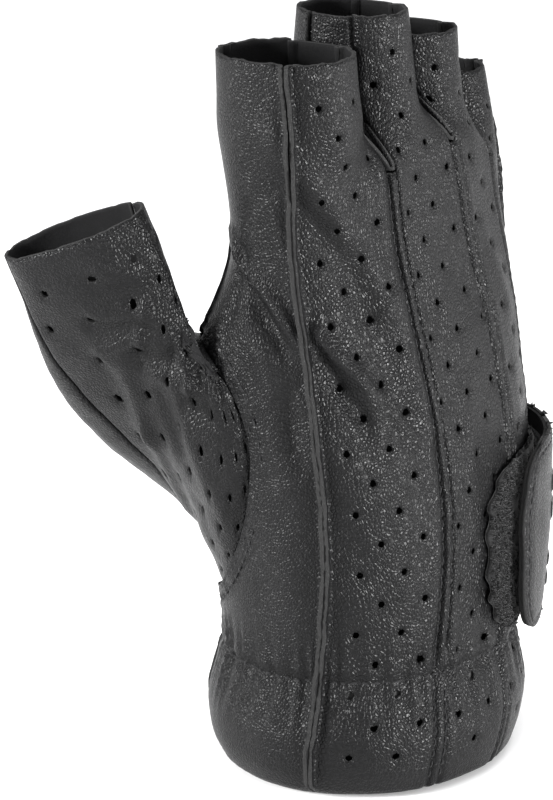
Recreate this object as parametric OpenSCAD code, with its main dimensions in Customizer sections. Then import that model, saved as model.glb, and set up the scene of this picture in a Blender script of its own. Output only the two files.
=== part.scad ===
// Half-finger leather glove for the right hand, standing on its cuff.
// +Z runs up the hand, the back of the hand faces -Y, the thumb is on the -X side
// and the little finger on the +X side. The origin is the middle of the cuff opening,
// at the bottom of the folded hem.
// The shape is a row of rounded sections up the hand. An angle of 180 on a section is
// the thumb side, 270 the back, 0 or 360 the little finger side and 90 the palm.

/* [Hand] */
// Width across the knuckles
knuckle_w = 85; // [76:1:102]
// Depth through the knuckles
knuckle_d = 35.5; // [32:0.5:42]
// Height of the slit between the index and middle fingers
crotch_z = 139; // [125:1:160]
// How far the web between thumb and palm stands out
web_out = 7.5; // [5:0.5:10]

/* [Cuff] */
// Width at the wrist elastic
cuff_w = 74; // [64:1:84]
// Depth at the wrist elastic
cuff_d = 62.4; // [52:0.5:74]
// Height of the stitch line over the wrist elastic
elastic_z = 27; // [23:1:32]
// How far the hem swells out below the elastic
hem_bulge = 1.4; // [0.5:0.1:4]
// Width of the elastic band inside the hem
elastic_w = 8; // [6:0.5:11]
// Thickness of the elastic band
elastic_t = 1; // [0.8:0.1:1.4]

/* [Leather] */
// Thickness of the leather
leather = 0.9; // [0.7:0.05:1.2]
// Height of the raw seam edges that stand outside
seam_rise = 2; // [1.2:0.1:3]
// Room between the two walls at the bottom of a slit between fingers
slit_room = 0.6; // [0.4:0.1:1.2]
// Thread diameter
thread_d = 0.5; // [0.4:0.05:0.7]

/* [Finger stalls] */
// Width of the index finger opening
index_w = 26.6; // [22:0.2:30]
// Depth of the index finger opening
index_d = 30; // [25:0.5:37]
// Height of the index finger rim above the slits between the fingers
index_z = 28; // [21:1:61]
// Width of the middle finger opening
middle_w = 20.2; // [17:0.2:22]
// Depth of the middle finger opening
middle_d = 24.4; // [20:0.5:29]
// Height of the middle finger rim above the slits between the fingers
middle_z = 33.5; // [26:0.5:67]
// Width of the ring finger opening
ring_w = 19.2; // [16:0.2:21]
// Depth of the ring finger opening
ring_d = 24; // [20:0.5:29]
// Height of the ring finger rim above the slits between the fingers
ring_z = 26; // [19:1:59]
// Width of the little finger opening
little_w = 17.2; // [14:0.5:19]
// Depth of the little finger opening
little_d = 21.5; // [18:0.5:26]
// Height of the little finger rim above the slits between the fingers
little_z = 13; // [9:1:43]

/* [Thumb] */
// Width of the thumb opening
thumb_w = 33.6; // [28:0.5:40]
// Depth of the thumb opening
thumb_d = 16; // [13:0.5:20]
// Height of the middle of the thumb rim
thumb_z = 127; // [118:1:140]
// Lowest point of the thumb hole in the side panel
thumb_hole_z0 = 39; // [38:1:46]
// Highest point of the thumb hole
thumb_hole_z1 = 102; // [92:1:106]
// Distance of the outer stitch row from the edge of the thumb hole
thumb_band = 3.3; // [2.5:0.1:4.5]
// Leather of the thumb that lies under the palm leather all round the hole
thumb_allowance = 4; // [3:0.5:5.5]

/* [Strap] */
// Height of the strap's lower edge
strap_z0 = 29.5; // [28:0.5:36]
// Width of the strap, measured up the glove
strap_w = 41; // [34:0.5:50]
// Angle on the cuff where the strap leaves its sewn root
strap_root_angle = 352; // [346:1:360]
// Angle that the strap covers at the middle of its rounded end
strap_reach = 76; // [62:1:86]
// Angle that the rounded end loses at its two corners
strap_round = 20; // [12:1:26]
// Length of the sewn root, as an angle on the cuff
root_length = 24; // [18:1:32]
// Thickness of the hook and the loop fastener
fastener_t = 1.2; // [0.9:0.1:1.6]
// How far the loop patch shows beyond the strap's end, as an angle
patch_margin = 8; // [5:1:16]

/* [Hidden] */

// room left between sewn pieces
gap = 0.2;
// room at the edges of a fourchette, inside its seams
seam_room = 0.6;
// room between a thread and the leather under it
thread_clear = 0.15;
// length of thread left out where two seams cross
thread_break = 0.8;
black_leather = [0.09, 0.09, 0.095];
smooth_leather = [0.13, 0.13, 0.14];
thread_colour = [0.05, 0.05, 0.055];
fastener_colour = [0.03, 0.03, 0.035];
elastic_colour = [0.2, 0.2, 0.21];

cw = cuff_w / 2;
cd = cuff_d / 2;
kw = knuckle_w / 2;
kd = knuckle_d / 2;
hem_top = elastic_z + 3;
// a tuck takes up two leathers and the room between them, and its stitch lines stand as far
// apart as the walls of the slit above it
tuck_w = slit_room + 2 * (leather + gap);
// the folded hem: half the depth of the fold, measured on its grain side
pocket = elastic_t + 4 * gap;
fold_r = leather + pocket / 2;

function mix(a, b, t) = a + (b - a) * t;
function clamp01(t) = min(1, max(0, t));
function smooth(t) = let (c = clamp01(t)) c * c * (3 - 2 * c);
function spow(c, p) = sign(c) * pow(abs(c), p);
function unit(v) = v / norm(v);

// a smooth curve through rows of [place, values...], with the last row held beyond the end
function chord(rows, i) = (rows[i + 1] - rows[i]) / (rows[i + 1][0] - rows[i][0]);
function slope(rows, i) =
    i == 0 ? chord(rows, 0)
    : i == len(rows) - 1 ? chord(rows, i - 1)
    : let (h0 = rows[i][0] - rows[i - 1][0], h1 = rows[i + 1][0] - rows[i][0])
        (chord(rows, i - 1) * h1 + chord(rows, i) * h0) / (h0 + h1);
function through(rows, p) =
    let (i = max([for (j = [0 : len(rows) - 2]) if (j == 0 || rows[j][0] <= p) j]),
        h = rows[i + 1][0] - rows[i][0],
        t = clamp01((p - rows[i][0]) / h))
    rows[i] * (1 + 2 * t) * pow(1 - t, 2) + slope(rows, i) * h * t * pow(1 - t, 2)
    + rows[i + 1] * t * t * (3 - 2 * t) + slope(rows, i + 1) * h * t * t * (t - 1);

// sections of the hand: height, centre x and y, half width, depth of back, depth of palm,
// squareness of the corners
function rise(t) = elastic_z + (crotch_z - elastic_z) * t;
SECTIONS = [
    [0, -0.5, 0.7, cw - 1.4, cd + 0.2, cd + 0.2, 2],
    [5, -0.7, 1, cw + hem_bulge - 0.6, cd + hem_bulge + 0.8, cd + hem_bulge + 0.6, 2],
    [12, -0.7, 1, cw + hem_bulge, cd + hem_bulge + 1.4, cd + hem_bulge + 0.9, 2.05],
    [elastic_z, -0.2, 0.5, cw, cd, cd, 2.1],
    [rise(0.16), 1, 1, mix(cw, kw, 0.36), mix(cd, kd, 0.02), mix(cd, kd, 0.04), 2.2],
    [rise(0.38), 2.8, 2, kw, mix(cd, kd, 0.13), mix(cd, kd, 0.25), 2.3],
    [rise(0.61), 2.4, 2.5, kw + 0.5, mix(cd, kd, 0.45), mix(cd, kd, 0.58), 2.4],
    [rise(0.81), 1.5, 2.5, kw, mix(cd, kd, 0.8), mix(cd, kd, 0.88), 2.5],
    [rise(0.96), -0.4, 2, kw - 0.4, kd + 0.7, kd - 0.8, 2.5],
    [rise(1.1), -2.7, 1.5, kw - 1.5, kd - 0.7, kd - 2.2, 2.5]];

// the web of leather that runs out to the thumb
web_angle = 143;
web_z = mix(thumb_hole_z0, thumb_hole_z1, 0.92);
function web(phi, z) = web_out * exp(-pow((phi - web_angle) / 26, 2) - pow((z - web_z) / 15, 2));

// a point on the hand's skin, off millimetres outside it
function skin(z, phi, off = 0) =
    let (s = through(SECTIONS, z),
        a = (phi % 360 + 360) % 360,
        c = cos(a),
        d = sin(a),
        w = web(a, z))
    [s[1] + (s[3] + off) * spow(c, 2 / s[6]) + 0.9 * w * c,
     s[2] + ((d < 0 ? s[4] : s[5]) + off) * spow(d, 2 / s[6]) + 0.9 * w * d,
     z];
// degrees round the skin for a distance in millimetres
function skin_deg(mm, z, phi) = 2 * mm / norm(skin(z, phi + 1) - skin(z, phi - 1));

// finger stalls: centre x at the knuckles and at the rim, centre y at the rim, rim height,
// half width and depth at the knuckles and at the rim
FINGERS = [
    [-0.69 * kw, -35.4, 0.4, crotch_z + index_z, 0.31 * kw, kd - 0.4, index_w / 2, index_d / 2],
    [-0.122 * kw, -10.5, -0.5, crotch_z + middle_z, 0.245 * kw, kd - 0.8, middle_w / 2, middle_d / 2],
    [0.355 * kw, 10.4, -1, crotch_z + ring_z, 0.225 * kw, kd - 1.6, ring_w / 2, ring_d / 2],
    [0.782 * kw, 31.6, 3.4, crotch_z + little_z, 0.19 * kw, kd - 3.2, little_w / 2, little_d / 2]];
stall_n = 2.2;
function stall(k, z, psi, off = 0) =
    let (f = FINGERS[k],
        t = (z - rise(0.9)) / (f[3] - rise(0.9)),
        a = mix(f[4], f[6], t) + off,
        b = mix(f[5], f[7], t) + off)
    [mix(f[0], f[1], t) + a * spow(cos(psi), 2 / stall_n),
     mix(2, f[2], t) + b * spow(sin(psi), 2 / stall_n),
     z];
function stall_deg(mm, k, z, psi) = 2 * mm / norm(stall(k, z, psi + 1) - stall(k, z, psi - 1));

// lines up the hand, as angles at six heights: the raw seam on the thumb side of the back,
// the three tucks between the fingers, the lines up the palm that end at the same slits, the
// raw seam of the palm and the raw seam on the little finger side
LINE_T = [0, 0.001, 0.3, 0.61, 0.88, 1];
function line_rows(angles) =
    [for (i = [0 : 5]) [i == 0 ? 0 : rise(LINE_T[i]), angles[i]]];
RADIAL_SEAM = line_rows([194, 196, 201, 200, 196, 195]);
TUCKS = [line_rows([241, 245, 252, 252.5, 251.5, 251.5]),
    line_rows([274, 279, 284, 284, 279, 278]),
    line_rows([306, 310, 314, 314, 308, 306])];
PALM_LINES = [line_rows([92, 94, 103, 107.5, 108.5, 108.5]),
    line_rows([64, 66, 74, 76, 81, 82]),
    line_rows([34, 36, 43, 46, 52, 54])];
PALM_SEAM = line_rows([116, 118, 128, 141, 135, 120]);
ULNAR_SEAM = line_rows([350, 350, 350, 345, 335, 330]);
function ulnar_seam(z) = through(ULNAR_SEAM, z)[1];
function radial_seam(z) = through(RADIAL_SEAM, z)[1];
function palm_seam(z) = through(PALM_SEAM, z)[1];
function tuck(i, z) = through(TUCKS[i], z)[1];
function palm_line(i, z) = through(PALM_LINES[i], z)[1];
// half the width of a tuck, and of the strip between two lines up the palm, as angles
function tuck_half(i, z) = skin_deg(tuck_w / 2, z, tuck(i, z));
function palm_half(i, z) = skin_deg(tuck_w / 2, z, palm_line(i, z));

// heights of the three slits between the fingers
SLITS = [crotch_z, crotch_z + 2, crotch_z - 5];
// seam angles on the stalls
radial_psi = 206;
palm_psi = 97;
ulnar_psi = 335;
side_psi = 24;
stall_blend = 15;
early_drop = 20;

// ---- sheets of leather -------------------------------------------------------------
// A sheet is a grid of places. Each place has a grain point and a flesh point, rows run up
// the glove and columns run anticlockwise seen from above. cells says which squares exist.
module sheet(grain, flesh, cells) {
    nr = len(grain);
    nc = len(grain[0]);
    function id(side, r, c) = (side * nr + r) * nc + c;
    function has(r, c) = r >= 0 && r < nr - 1 && c >= 0 && c < nc - 1 && cells[r][c];
    points = [for (side = [grain, flesh]) for (row = side) for (p = row) p];
    faces = [for (r = [0 : nr - 2]) for (c = [0 : nc - 2]) if (has(r, c)) each [
        [id(0, r, c), id(0, r + 1, c), id(0, r + 1, c + 1)],
        [id(0, r, c), id(0, r + 1, c + 1), id(0, r, c + 1)],
        [id(1, r, c), id(1, r + 1, c + 1), id(1, r + 1, c)],
        [id(1, r, c), id(1, r, c + 1), id(1, r + 1, c + 1)],
        if (!has(r - 1, c)) each quad(id(0, r, c), id(0, r, c + 1), id(1, r, c + 1), id(1, r, c)),
        if (!has(r + 1, c))
            each quad(id(0, r + 1, c + 1), id(0, r + 1, c), id(1, r + 1, c), id(1, r + 1, c + 1)),
        if (!has(r, c - 1)) each quad(id(0, r + 1, c), id(0, r, c), id(1, r, c), id(1, r + 1, c)),
        if (!has(r, c + 1))
            each quad(id(0, r, c + 1), id(0, r + 1, c + 1), id(1, r + 1, c + 1), id(1, r, c + 1))]];
    polyhedron(points, faces);
}
function quad(a, b, c, d) = [[a, b, c], [a, c, d]];
function all_cells(nr, nc) = [for (r = [1 : nr - 1]) [for (c = [1 : nc - 1]) true]];

// the flesh side of a grid, one leather thickness behind its grain side
function behind(g, t = leather) =
    let (nr = len(g), nc = len(g[0]))
    [for (r = [0 : nr - 1]) [for (c = [0 : nc - 1])
        let (across = g[r][min(c + 1, nc - 1)] - g[r][max(c - 1, 0)],
            up = g[min(r + 1, nr - 1)][c] - g[max(r - 1, 0)][c])
        g[r][c] - t * unit(cross(across, up))]];

// keeps a group of faceted shapes as one mesh
module soft() {
    resize([0, 0, 0]) children();
}

// ---- rows of a hand panel ----------------------------------------------------------
// row: [height grain, height flesh, inset grain, inset flesh, share of the way to the slit,
// share of the way from slit to rim]. The first rows are the turned-in hem.
function fold_row(angle) =
    [fold_r - fold_r * sin(angle), fold_r - (fold_r - leather) * sin(angle),
     -fold_r * (1 - cos(angle)), -(fold_r - leather) * (1 - cos(angle)), 0, 0];
HEM_ROWS = concat(
    [for (z = [hem_top, elastic_z * 0.75, elastic_z * 0.4])
        [z, z, -2 * fold_r, -2 * (fold_r - leather), 0, 0]],
    [for (angle = [180 : -30 : 0]) fold_row(angle)]);
CUFF_ROWS = [for (z = [5, 8.5, 12, 17, 22, elastic_z]) [z, z, 0, 0, 0, 0]];
hand_steps = 15;
HAND_ROWS = [for (i = [1 : hand_steps]) [0, 0, 0, 0, i / hand_steps, 0]];
STALL_ROWS = [for (t = [0.12, 0.26, 0.42, 0.6, 0.8, 1]) [0, 0, 0, 0, 1, t]];
ROWS = concat(HEM_ROWS, CUFF_ROWS, HAND_ROWS, STALL_ROWS);
slit_row = len(ROWS) - len(STALL_ROWS) - 1;
hem_rows = len(HEM_ROWS);

// column: [finger, share across the finger, slit height, how early the stall's own shape takes
// over, sideways grain, sideways flesh, lift grain, lift flesh]. Sideways and lift make the
// raw seam edges that stand up.
function plain_column(k, f, slit, early = 0) = [k, f, slit, early, 0, 0, 0, -leather];
function corner_column(k, f, slit, side) =
    [k, f, slit, 1, side * (gap / 2 + leather), side * gap / 2, 0, -leather];
function edge_column(k, f, slit, side) =
    [k, f, slit, 1, side * (gap / 2 + leather), side * gap / 2, seam_rise, seam_rise];

function row_z(row, column, face) =
    row[4] == 0 ? row[face]
    : row[5] == 0 ? elastic_z + (column[2] - elastic_z) * row[4]
    : mix(column[2], FINGERS[column[0]][3], row[5]);

// the point of a panel: phi and psi are the column's angles on the hand and on its stall
function panel_point(row, column, face, phi, psi) =
    let (z = row_z(row, column, face),
        off = row[2 + face] + column[6 + face],
        mm = column[4 + face],
        a = phi + (mm == 0 ? 0 : skin_deg(mm, z, phi)),
        sooner = early_drop * column[3],
        s = row[4] == 0 ? 0 : smooth((z - column[2] + sooner) / (stall_blend + sooner)),
        b = s == 0 || mm == 0 ? psi : psi + stall_deg(mm, column[0], z, psi))
    s == 0 ? skin(z, a, off) : mix(skin(z, a, off), stall(column[0], z, b, off), s);

// ---- back --------------------------------------------------------------------------
BACK_COLUMNS = concat(
    [edge_column(0, 0, SLITS[0], 1), corner_column(0, 0, SLITS[0], 1)],
    [for (f = [0.14, 0.32, 0.5, 0.68, 0.84, 1]) plain_column(0, f, SLITS[0], 1 - f)],
    [for (f = [0, 0.25, 0.5, 0.75, 1]) plain_column(1, f, mix(SLITS[0], SLITS[1], f))],
    [for (f = [0, 0.25, 0.5, 0.75, 1]) plain_column(2, f, mix(SLITS[1], SLITS[2], f))],
    [for (f = [0, 0.2, 0.4, 0.6, 0.8]) plain_column(3, f, SLITS[2], f)],
    [corner_column(3, 1, SLITS[2], -1), edge_column(3, 1, SLITS[2], -1)]);
function back_phi(k, f, z) =
    let (from = k == 0 ? radial_seam(z) : tuck(k - 1, z) + tuck_half(k - 1, z),
        to = k == 3 ? ulnar_seam(z) : tuck(k, z) - tuck_half(k, z))
    mix(from, to, f);
function back_psi(k, f) =
    mix(k == 0 ? radial_psi : 180 + side_psi, k == 3 ? ulnar_psi : 360 - side_psi, f);
function back_grid(face) =
    [for (row = ROWS) [for (column = BACK_COLUMNS)
        let (z = row_z(row, column, face))
        panel_point(row, column, face, back_phi(column[0], column[1], z),
            back_psi(column[0], column[1]))]];
// a square exists below the slits or inside one finger, and the raw edges at both sides of
// the panel exist above the hem
function panel_cells(columns) =
    [for (r = [0 : len(ROWS) - 2]) [for (c = [0 : len(columns) - 2])
        (r < slit_row || columns[c][0] == columns[c + 1][0])
        && (r >= hem_rows - 1 || c > 0 && c < len(columns) - 2)]];
module back_panel() {
    color(black_leather) soft()
        sheet(back_grid(0), back_grid(1), panel_cells(BACK_COLUMNS));
}

// ---- palm and side -----------------------------------------------------------------
PALM_COLUMNS = concat(
    [edge_column(3, 0, SLITS[2], 1), corner_column(3, 0, SLITS[2], 1)],
    [for (f = [0.2, 0.4, 0.6, 0.8, 1]) plain_column(3, f, SLITS[2], 1 - f)],
    [for (f = [0, 0.25, 0.5, 0.75, 1]) plain_column(2, f, mix(SLITS[2], SLITS[1], f))],
    [for (f = [0, 0.25, 0.5, 0.75, 1]) plain_column(1, f, mix(SLITS[1], SLITS[0], f))],
    [for (f = [0, 0.2, 0.4, 0.6, 0.8]) plain_column(0, f, SLITS[0], f)],
    [corner_column(0, 1, SLITS[0], -1), edge_column(0, 1, SLITS[0], -1)]);
function palm_phi(k, f, z) =
    let (from = k == 3 ? ulnar_seam(z) - 360 : palm_line(k, z) + palm_half(k, z),
        to = k == 0 ? palm_seam(z) : palm_line(k - 1, z) - palm_half(k - 1, z))
    mix(from, to, f);
function palm_psi_at(k, f) =
    mix(k == 3 ? ulnar_psi - 360 : side_psi, k == 0 ? palm_psi : 180 - side_psi, f);
function palm_grid(face) =
    [for (row = ROWS) [for (column = PALM_COLUMNS)
        let (z = row_z(row, column, face))
        panel_point(row, column, face, palm_phi(column[0], column[1], z),
            palm_psi_at(column[0], column[1]))]];

SIDE_COLUMNS = concat(
    [edge_column(0, 0, SLITS[0], 1), corner_column(0, 0, SLITS[0], 1)],
    [for (f = [0.2, 0.4, 0.6, 0.8]) plain_column(0, f, SLITS[0], 1)],
    [corner_column(0, 1, SLITS[0], -1), edge_column(0, 1, SLITS[0], -1)]);
function side_grid(face) =
    [for (row = ROWS) [for (column = SIDE_COLUMNS)
        let (z = row_z(row, column, face))
        panel_point(row, column, face, mix(palm_seam(z), radial_seam(z), column[1]),
            mix(palm_psi, radial_psi, column[1]))]];

// ---- thumb hole --------------------------------------------------------------------
// the hole is centred on the palm seam, which runs into its top and leaves at its bottom
hole_top_angle = palm_seam(thumb_hole_z1);
hole_low_angle = palm_seam(thumb_hole_z0);
hole_angle = (hole_top_angle + hole_low_angle) / 2;
hole_skew = (hole_top_angle - hole_low_angle) / 2;
hole_backward = 41;
hole_palmward = 38;
hole_mid = (thumb_hole_z0 + thumb_hole_z1) / 2;
hole_tall = (thumb_hole_z1 - thumb_hole_z0) / 2;
// angle and height of the hole's edge, mm millimetres outside it
function hole(theta, mm) =
    let (reach = cos(theta) > 0 ? hole_backward : hole_palmward)
    [hole_angle + (reach + 1.45 * mm) * cos(theta) + hole_skew * sin(theta),
     hole_mid + (hole_tall + mm) * sin(theta)];
function on_hole(theta, mm, off) = let (h = hole(theta, mm)) skin(h[1], h[0], off);
hole_steps = 48;
module thumb_hole() {
    through_wall = 7;
    n = hole_steps;
    ring = [for (off = [-through_wall, through_wall]) for (i = [0 : n - 1])
        on_hole(i * 360 / n, 0, off)];
    ends = [for (off = [-through_wall, through_wall]) skin(hole_mid, hole_angle, off)];
    polyhedron(concat(ring, ends), [for (i = [0 : n - 1]) let (j = (i + 1) % n) each [
        [i, i + n, j], [j, i + n, j + n], [i, j, 2 * n], [i + n, 2 * n + 1, j + n]]]);
}
module side_panel() {
    color(smooth_leather) soft() difference() {
        sheet(side_grid(0), side_grid(1), panel_cells(SIDE_COLUMNS));
        thumb_hole();
    }
}
module palm_panel() {
    color(smooth_leather) soft() difference() {
        sheet(palm_grid(0), palm_grid(1), panel_cells(PALM_COLUMNS));
        thumb_hole();
    }
}

// ---- fourchettes -------------------------------------------------------------------
// A fourchette lines the slit between finger k and finger k + 1: down the little finger
// side of finger k, across the bottom of the slit and up the thumb side of finger k + 1.
// f runs from the palm edge (0) to the back edge (1).
function slit_line(k, z, side, f) =
    let (back = skin(z, tuck(k, z) - side * tuck_half(k, z), -leather - gap),
        palm = skin(z, palm_line(k, z) + side * palm_half(k, z), -leather - gap))
    mix(palm, back, f);
function fourchette_wall(k, t, side, f) =
    let (finger = side > 0 ? k : k + 1,
        z = mix(SLITS[k], FINGERS[finger][3], t),
        edge = side_psi - stall_deg(seam_room, finger, z, side_psi),
        psi = side > 0 ? mix(edge, -edge, f) : mix(180 - edge, 180 + edge, f),
        s = smooth((z - SLITS[k]) / stall_blend),
        open = [side * (leather + gap) * (1 - s), 0, 0])
    mix(slit_line(k, z, side, f), stall(finger, z, psi, -gap), s) + open;
function fourchette_bottom(k, side, f) =
    slit_line(k, SLITS[k], side * slit_room / tuck_w, f) + [0, 0, leather + seam_room];
FOURCHETTE_ROWS = [1, 0.8, 0.6, 0.42, 0.26, 0.12];
FOURCHETTE_F = [0, 0.2, 0.4, 0.6, 0.8, 1];
function fourchette_grid(k) = concat(
    [for (t = FOURCHETTE_ROWS) [for (f = FOURCHETTE_F) fourchette_wall(k, t, 1, f)]],
    [for (side = [1, -1]) [for (f = FOURCHETTE_F) fourchette_bottom(k, side, f)]],
    [for (i = [1 : 6]) [for (f = FOURCHETTE_F)
        fourchette_wall(k, FOURCHETTE_ROWS[6 - i], -1, f)]]);
module fourchette(k) {
    g = fourchette_grid(k);
    color(smooth_leather) soft() sheet(g, behind(g), all_cells(len(g), len(g[0])));
}
module fourchette_index_middle() {
    fourchette(0);
}
module fourchette_middle_ring() {
    fourchette(1);
}
module fourchette_ring_little() {
    fourchette(2);
}

// ---- thumb -------------------------------------------------------------------------
// The thumb sheet starts under the palm leather, comes out of the hole and runs to its rim.
thumb_axis = unit([-0.3, 0.28, 0.91]);
thumb_across = let (v = [0.3, -0.89, 0.34]) unit(v - thumb_axis * (v * thumb_axis));
thumb_deep = cross(thumb_axis, thumb_across);
thumb_centre = [-kw - 14, 41, thumb_z];
// how the thumb leaves its hole at the back edge, the palm edge, the bottom and the top,
// and how long it keeps its axis before the rim there
LEAVE = [[-25, 9, 20], [-92, 132, -22], [-10, 15, 38], [-34, 26, 2]];
ARRIVE = [45, 76, 60, 34];
under = leather + 0.35;
function thumb_rim(theta) =
    thumb_centre + thumb_w / 2 * spow(cos(theta), 0.9) * thumb_across
    + thumb_d / 2 * spow(sin(theta), 0.9) * thumb_deep;
function thumb_point(theta, t) =
    let (side = cos(theta) > 0 ? 0 : 1,
        end = sin(theta) < 0 ? 2 : 3,
        share = pow(cos(theta), 2),
        leave = mix(LEAVE[end], LEAVE[side], share),
        arrive = mix(ARRIVE[end], ARRIVE[side], share) * thumb_axis)
    on_hole(theta, -gap, -under) * (2 * pow(t, 3) - 3 * t * t + 1)
    + leave * (pow(t, 3) - 2 * t * t + t)
    + thumb_rim(theta) * (3 * t * t - 2 * pow(t, 3)) + arrive * (pow(t, 3) - t * t);
THUMB_ROWS = [0, 0.05, 0.11, 0.19, 0.28, 0.38, 0.49, 0.61, 0.74, 0.87, 1];
// the two seams of the thumb, as angles at the base and at the rim
function thumb_seam_low(t) = mix(262, 198, smooth(t));
function thumb_seam_high(t) = mix(78, 40, t);
function thumb_grid(from, to, steps) = concat(
    [[for (i = [0 : steps]) on_hole(mix(from[0], to[0], i / steps), thumb_allowance, -under)]],
    [for (j = [0 : len(THUMB_ROWS) - 1]) [for (i = [0 : steps])
        thumb_point(mix(from[j], to[j], i / steps), THUMB_ROWS[j])]]);
thumb_gap_deg = 1.1;
module thumb_back() {
    from = [for (t = THUMB_ROWS) thumb_seam_low(t) + thumb_gap_deg];
    to = [for (t = THUMB_ROWS) 360 + thumb_seam_high(t) - thumb_gap_deg];
    g = thumb_grid(from, to, 14);
    color(black_leather) soft() sheet(g, behind(g), all_cells(len(g), len(g[0])));
}
module thumb_palm() {
    from = [for (t = THUMB_ROWS) thumb_seam_high(t) + thumb_gap_deg];
    to = [for (t = THUMB_ROWS) thumb_seam_low(t) - thumb_gap_deg];
    g = thumb_grid(from, to, 14);
    color(smooth_leather) soft() sheet(g, behind(g), all_cells(len(g), len(g[0])));
}

// ---- elastic in the hem --------------------------------------------------------------
module wrist_elastic() {
    steps = 48;
    outside = -leather - 2 * gap;
    z1 = elastic_z - 1.5;
    function ring_point(i, z, off) = skin(z, i * 360 / steps, off);
    points = [for (i = [0 : steps - 1]) each [
        ring_point(i, z1 - elastic_w, outside), ring_point(i, z1, outside),
        ring_point(i, z1, outside - elastic_t), ring_point(i, z1 - elastic_w, outside - elastic_t)]];
    faces = [for (i = [0 : steps - 1]) for (e = [0 : 3])
        let (a = 4 * i, b = 4 * ((i + 1) % steps), n = (e + 1) % 4)
        each quad(a + e, a + n, b + n, b + e)];
    color(elastic_colour) soft() polyhedron(points, faces);
}

// ---- strap ---------------------------------------------------------------------------
// The stack on the cuff, as distances outside its skin. The tuck threads run on under it.
ply_gap = 0.15;
patch_in = thread_d + thread_clear + gap;
patch_out = patch_in + fastener_t;
hook_in = patch_out + 2 * gap;
hook_out = hook_in + fastener_t;
lining_in = hook_out + ply_gap;
lining_out = lining_in + leather;
strap_in = lining_out + ply_gap;
strap_out = strap_in + leather + 0.1;
strap_z1 = strap_z0 + strap_w;
strap_tip = strap_root_angle - strap_reach;
// how far round the rounded end lies at a height, from 0 at the middle to 1 at a corner
function end_curve(z, z0, z1) = 1 - pow(1 - pow(abs(2 * (z - z0) / (z1 - z0) - 1), 3), 1 / 3);
function strap_end(z) = strap_tip + strap_round * end_curve(z, strap_z0, strap_z1);
END_HEIGHTS = [0, 0.02, 0.06, 0.13, 0.24, 0.37, 0.5, 0.63, 0.76, 0.87, 0.94, 0.98, 1];
// a flat piece that follows the cuff between an end curve and a straight edge
module cuff_piece(z0, z1, inside, outside, steps, to, tip, round) {
    heights = [for (t = END_HEIGHTS) mix(z0, z1, t)];
    function grid(off) = [for (z = heights) [for (i = [0 : steps])
        skin(z, mix(tip + round * end_curve(z, z0, z1), to, i / steps), off)]];
    soft() sheet(grid(outside), grid(inside), all_cells(len(heights), steps + 1));
}
// the hinge line is the outer face of the strap's root end
hinge_clear = 0.9;
module strap() {
    color(black_leather) cuff_piece(strap_z0, strap_z1, strap_in, strap_out, 10,
        strap_root_angle - hinge_clear / 2, strap_tip, strap_round);
}
module strap_lining() {
    color(smooth_leather) cuff_piece(strap_z0 + 0.3, strap_z1 - 0.3, lining_in, lining_out, 10,
        strap_root_angle - hinge_clear / 2, strap_tip + 0.4, strap_round);
}
module hook_patch() {
    color(fastener_colour) cuff_piece(strap_z0 + 4, strap_z1 - 4, hook_in, hook_out, 7,
        strap_root_angle - 16, strap_tip + 4, strap_round * 0.8);
}
module loop_patch() {
    color(fastener_colour) cuff_piece(strap_z0 + 2, strap_z1 - 2, patch_in, patch_out, 8,
        strap_root_angle - 18, strap_tip - patch_margin, strap_round);
}
// the root comes down from the strap to the palm leather and is sewn on there
function root_drop(share) = smooth(share) * (lining_in - gap);
function root_phi(share) = strap_root_angle + hinge_clear / 2 + root_length * share;
module strap_root() {
    steps = 6;
    heights = [for (i = [0 : 4]) mix(strap_z0, strap_z1, i / 4)];
    function grid(off) = [for (z = heights) [for (i = [0 : steps])
        skin(z, root_phi(i / steps), off - root_drop(i / steps))]];
    color(black_leather) soft()
        sheet(grid(strap_out), grid(lining_in), all_cells(len(heights), steps + 1));
}

// ---- stitching -----------------------------------------------------------------------
// a thread swept along points, lying on a surface whose outward directions are given
module thread(points, outward) {
    n = len(points);
    sides = 6;
    r = thread_d / 2;
    rings = [for (i = [0 : n - 1])
        let (along = unit(points[min(i + 1, n - 1)] - points[max(i - 1, 0)]),
            side = unit(cross(along, outward[i])),
            up = cross(side, along))
        for (j = [0 : sides - 1])
            points[i] + r * (cos(j * 360 / sides) * side + sin(j * 360 / sides) * up)];
    wall = [for (i = [0 : n - 2]) for (j = [0 : sides - 1])
        let (a = i * sides, b = a + sides, m = (j + 1) % sides)
        each quad(a + j, a + m, b + m, b + j)];
    ends = [[for (j = [sides - 1 : -1 : 0]) j], [for (j = [0 : sides - 1]) (n - 1) * sides + j]];
    polyhedron(rings, concat(wall, ends));
}
function out_dir(z, phi) = unit(skin(z, phi, 1) - skin(z, phi, 0));
// a thread through places given as [height, angle], lift millimetres outside the skin
module skin_thread(places, lift) {
    thread([for (p = places) skin(p[0], p[1], lift + thread_d / 2 + thread_clear)],
        [for (p = places) out_dir(p[0], p[1])]);
}
module tuck_stitching() {
    hem = [for (z = [3, 6, 9, 12, 17, 22]) z];
    color(thread_colour) soft() for (i = [0 : 2]) for (side = [-1, 1]) {
        hand = [for (q = [0 : 15]) mix(elastic_z + thread_break, SLITS[i] - 1.5, q / 15)];
        for (heights = [concat(hem, [elastic_z - thread_break]), hand])
            skin_thread([for (z = heights)
                [z, tuck(i, z) + side * tuck_half(i, z)]], 0);
    }
}
// the line over the elastic stops on both sides of each raw seam
module hem_stitching() {
    clear = skin_deg(leather + gap + thread_break, elastic_z, 180);
    palm = palm_seam(elastic_z);
    radial = radial_seam(elastic_z);
    ulnar = ulnar_seam(elastic_z);
    color(thread_colour) soft()
        for (arc = [[palm, radial, 13], [radial, ulnar, 27], [ulnar, palm + 360, 20]])
            skin_thread([for (i = [0 : arc[2]])
                [elastic_z, mix(arc[0] + clear, arc[1] - clear, i / arc[2])]], 0);
}
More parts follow.
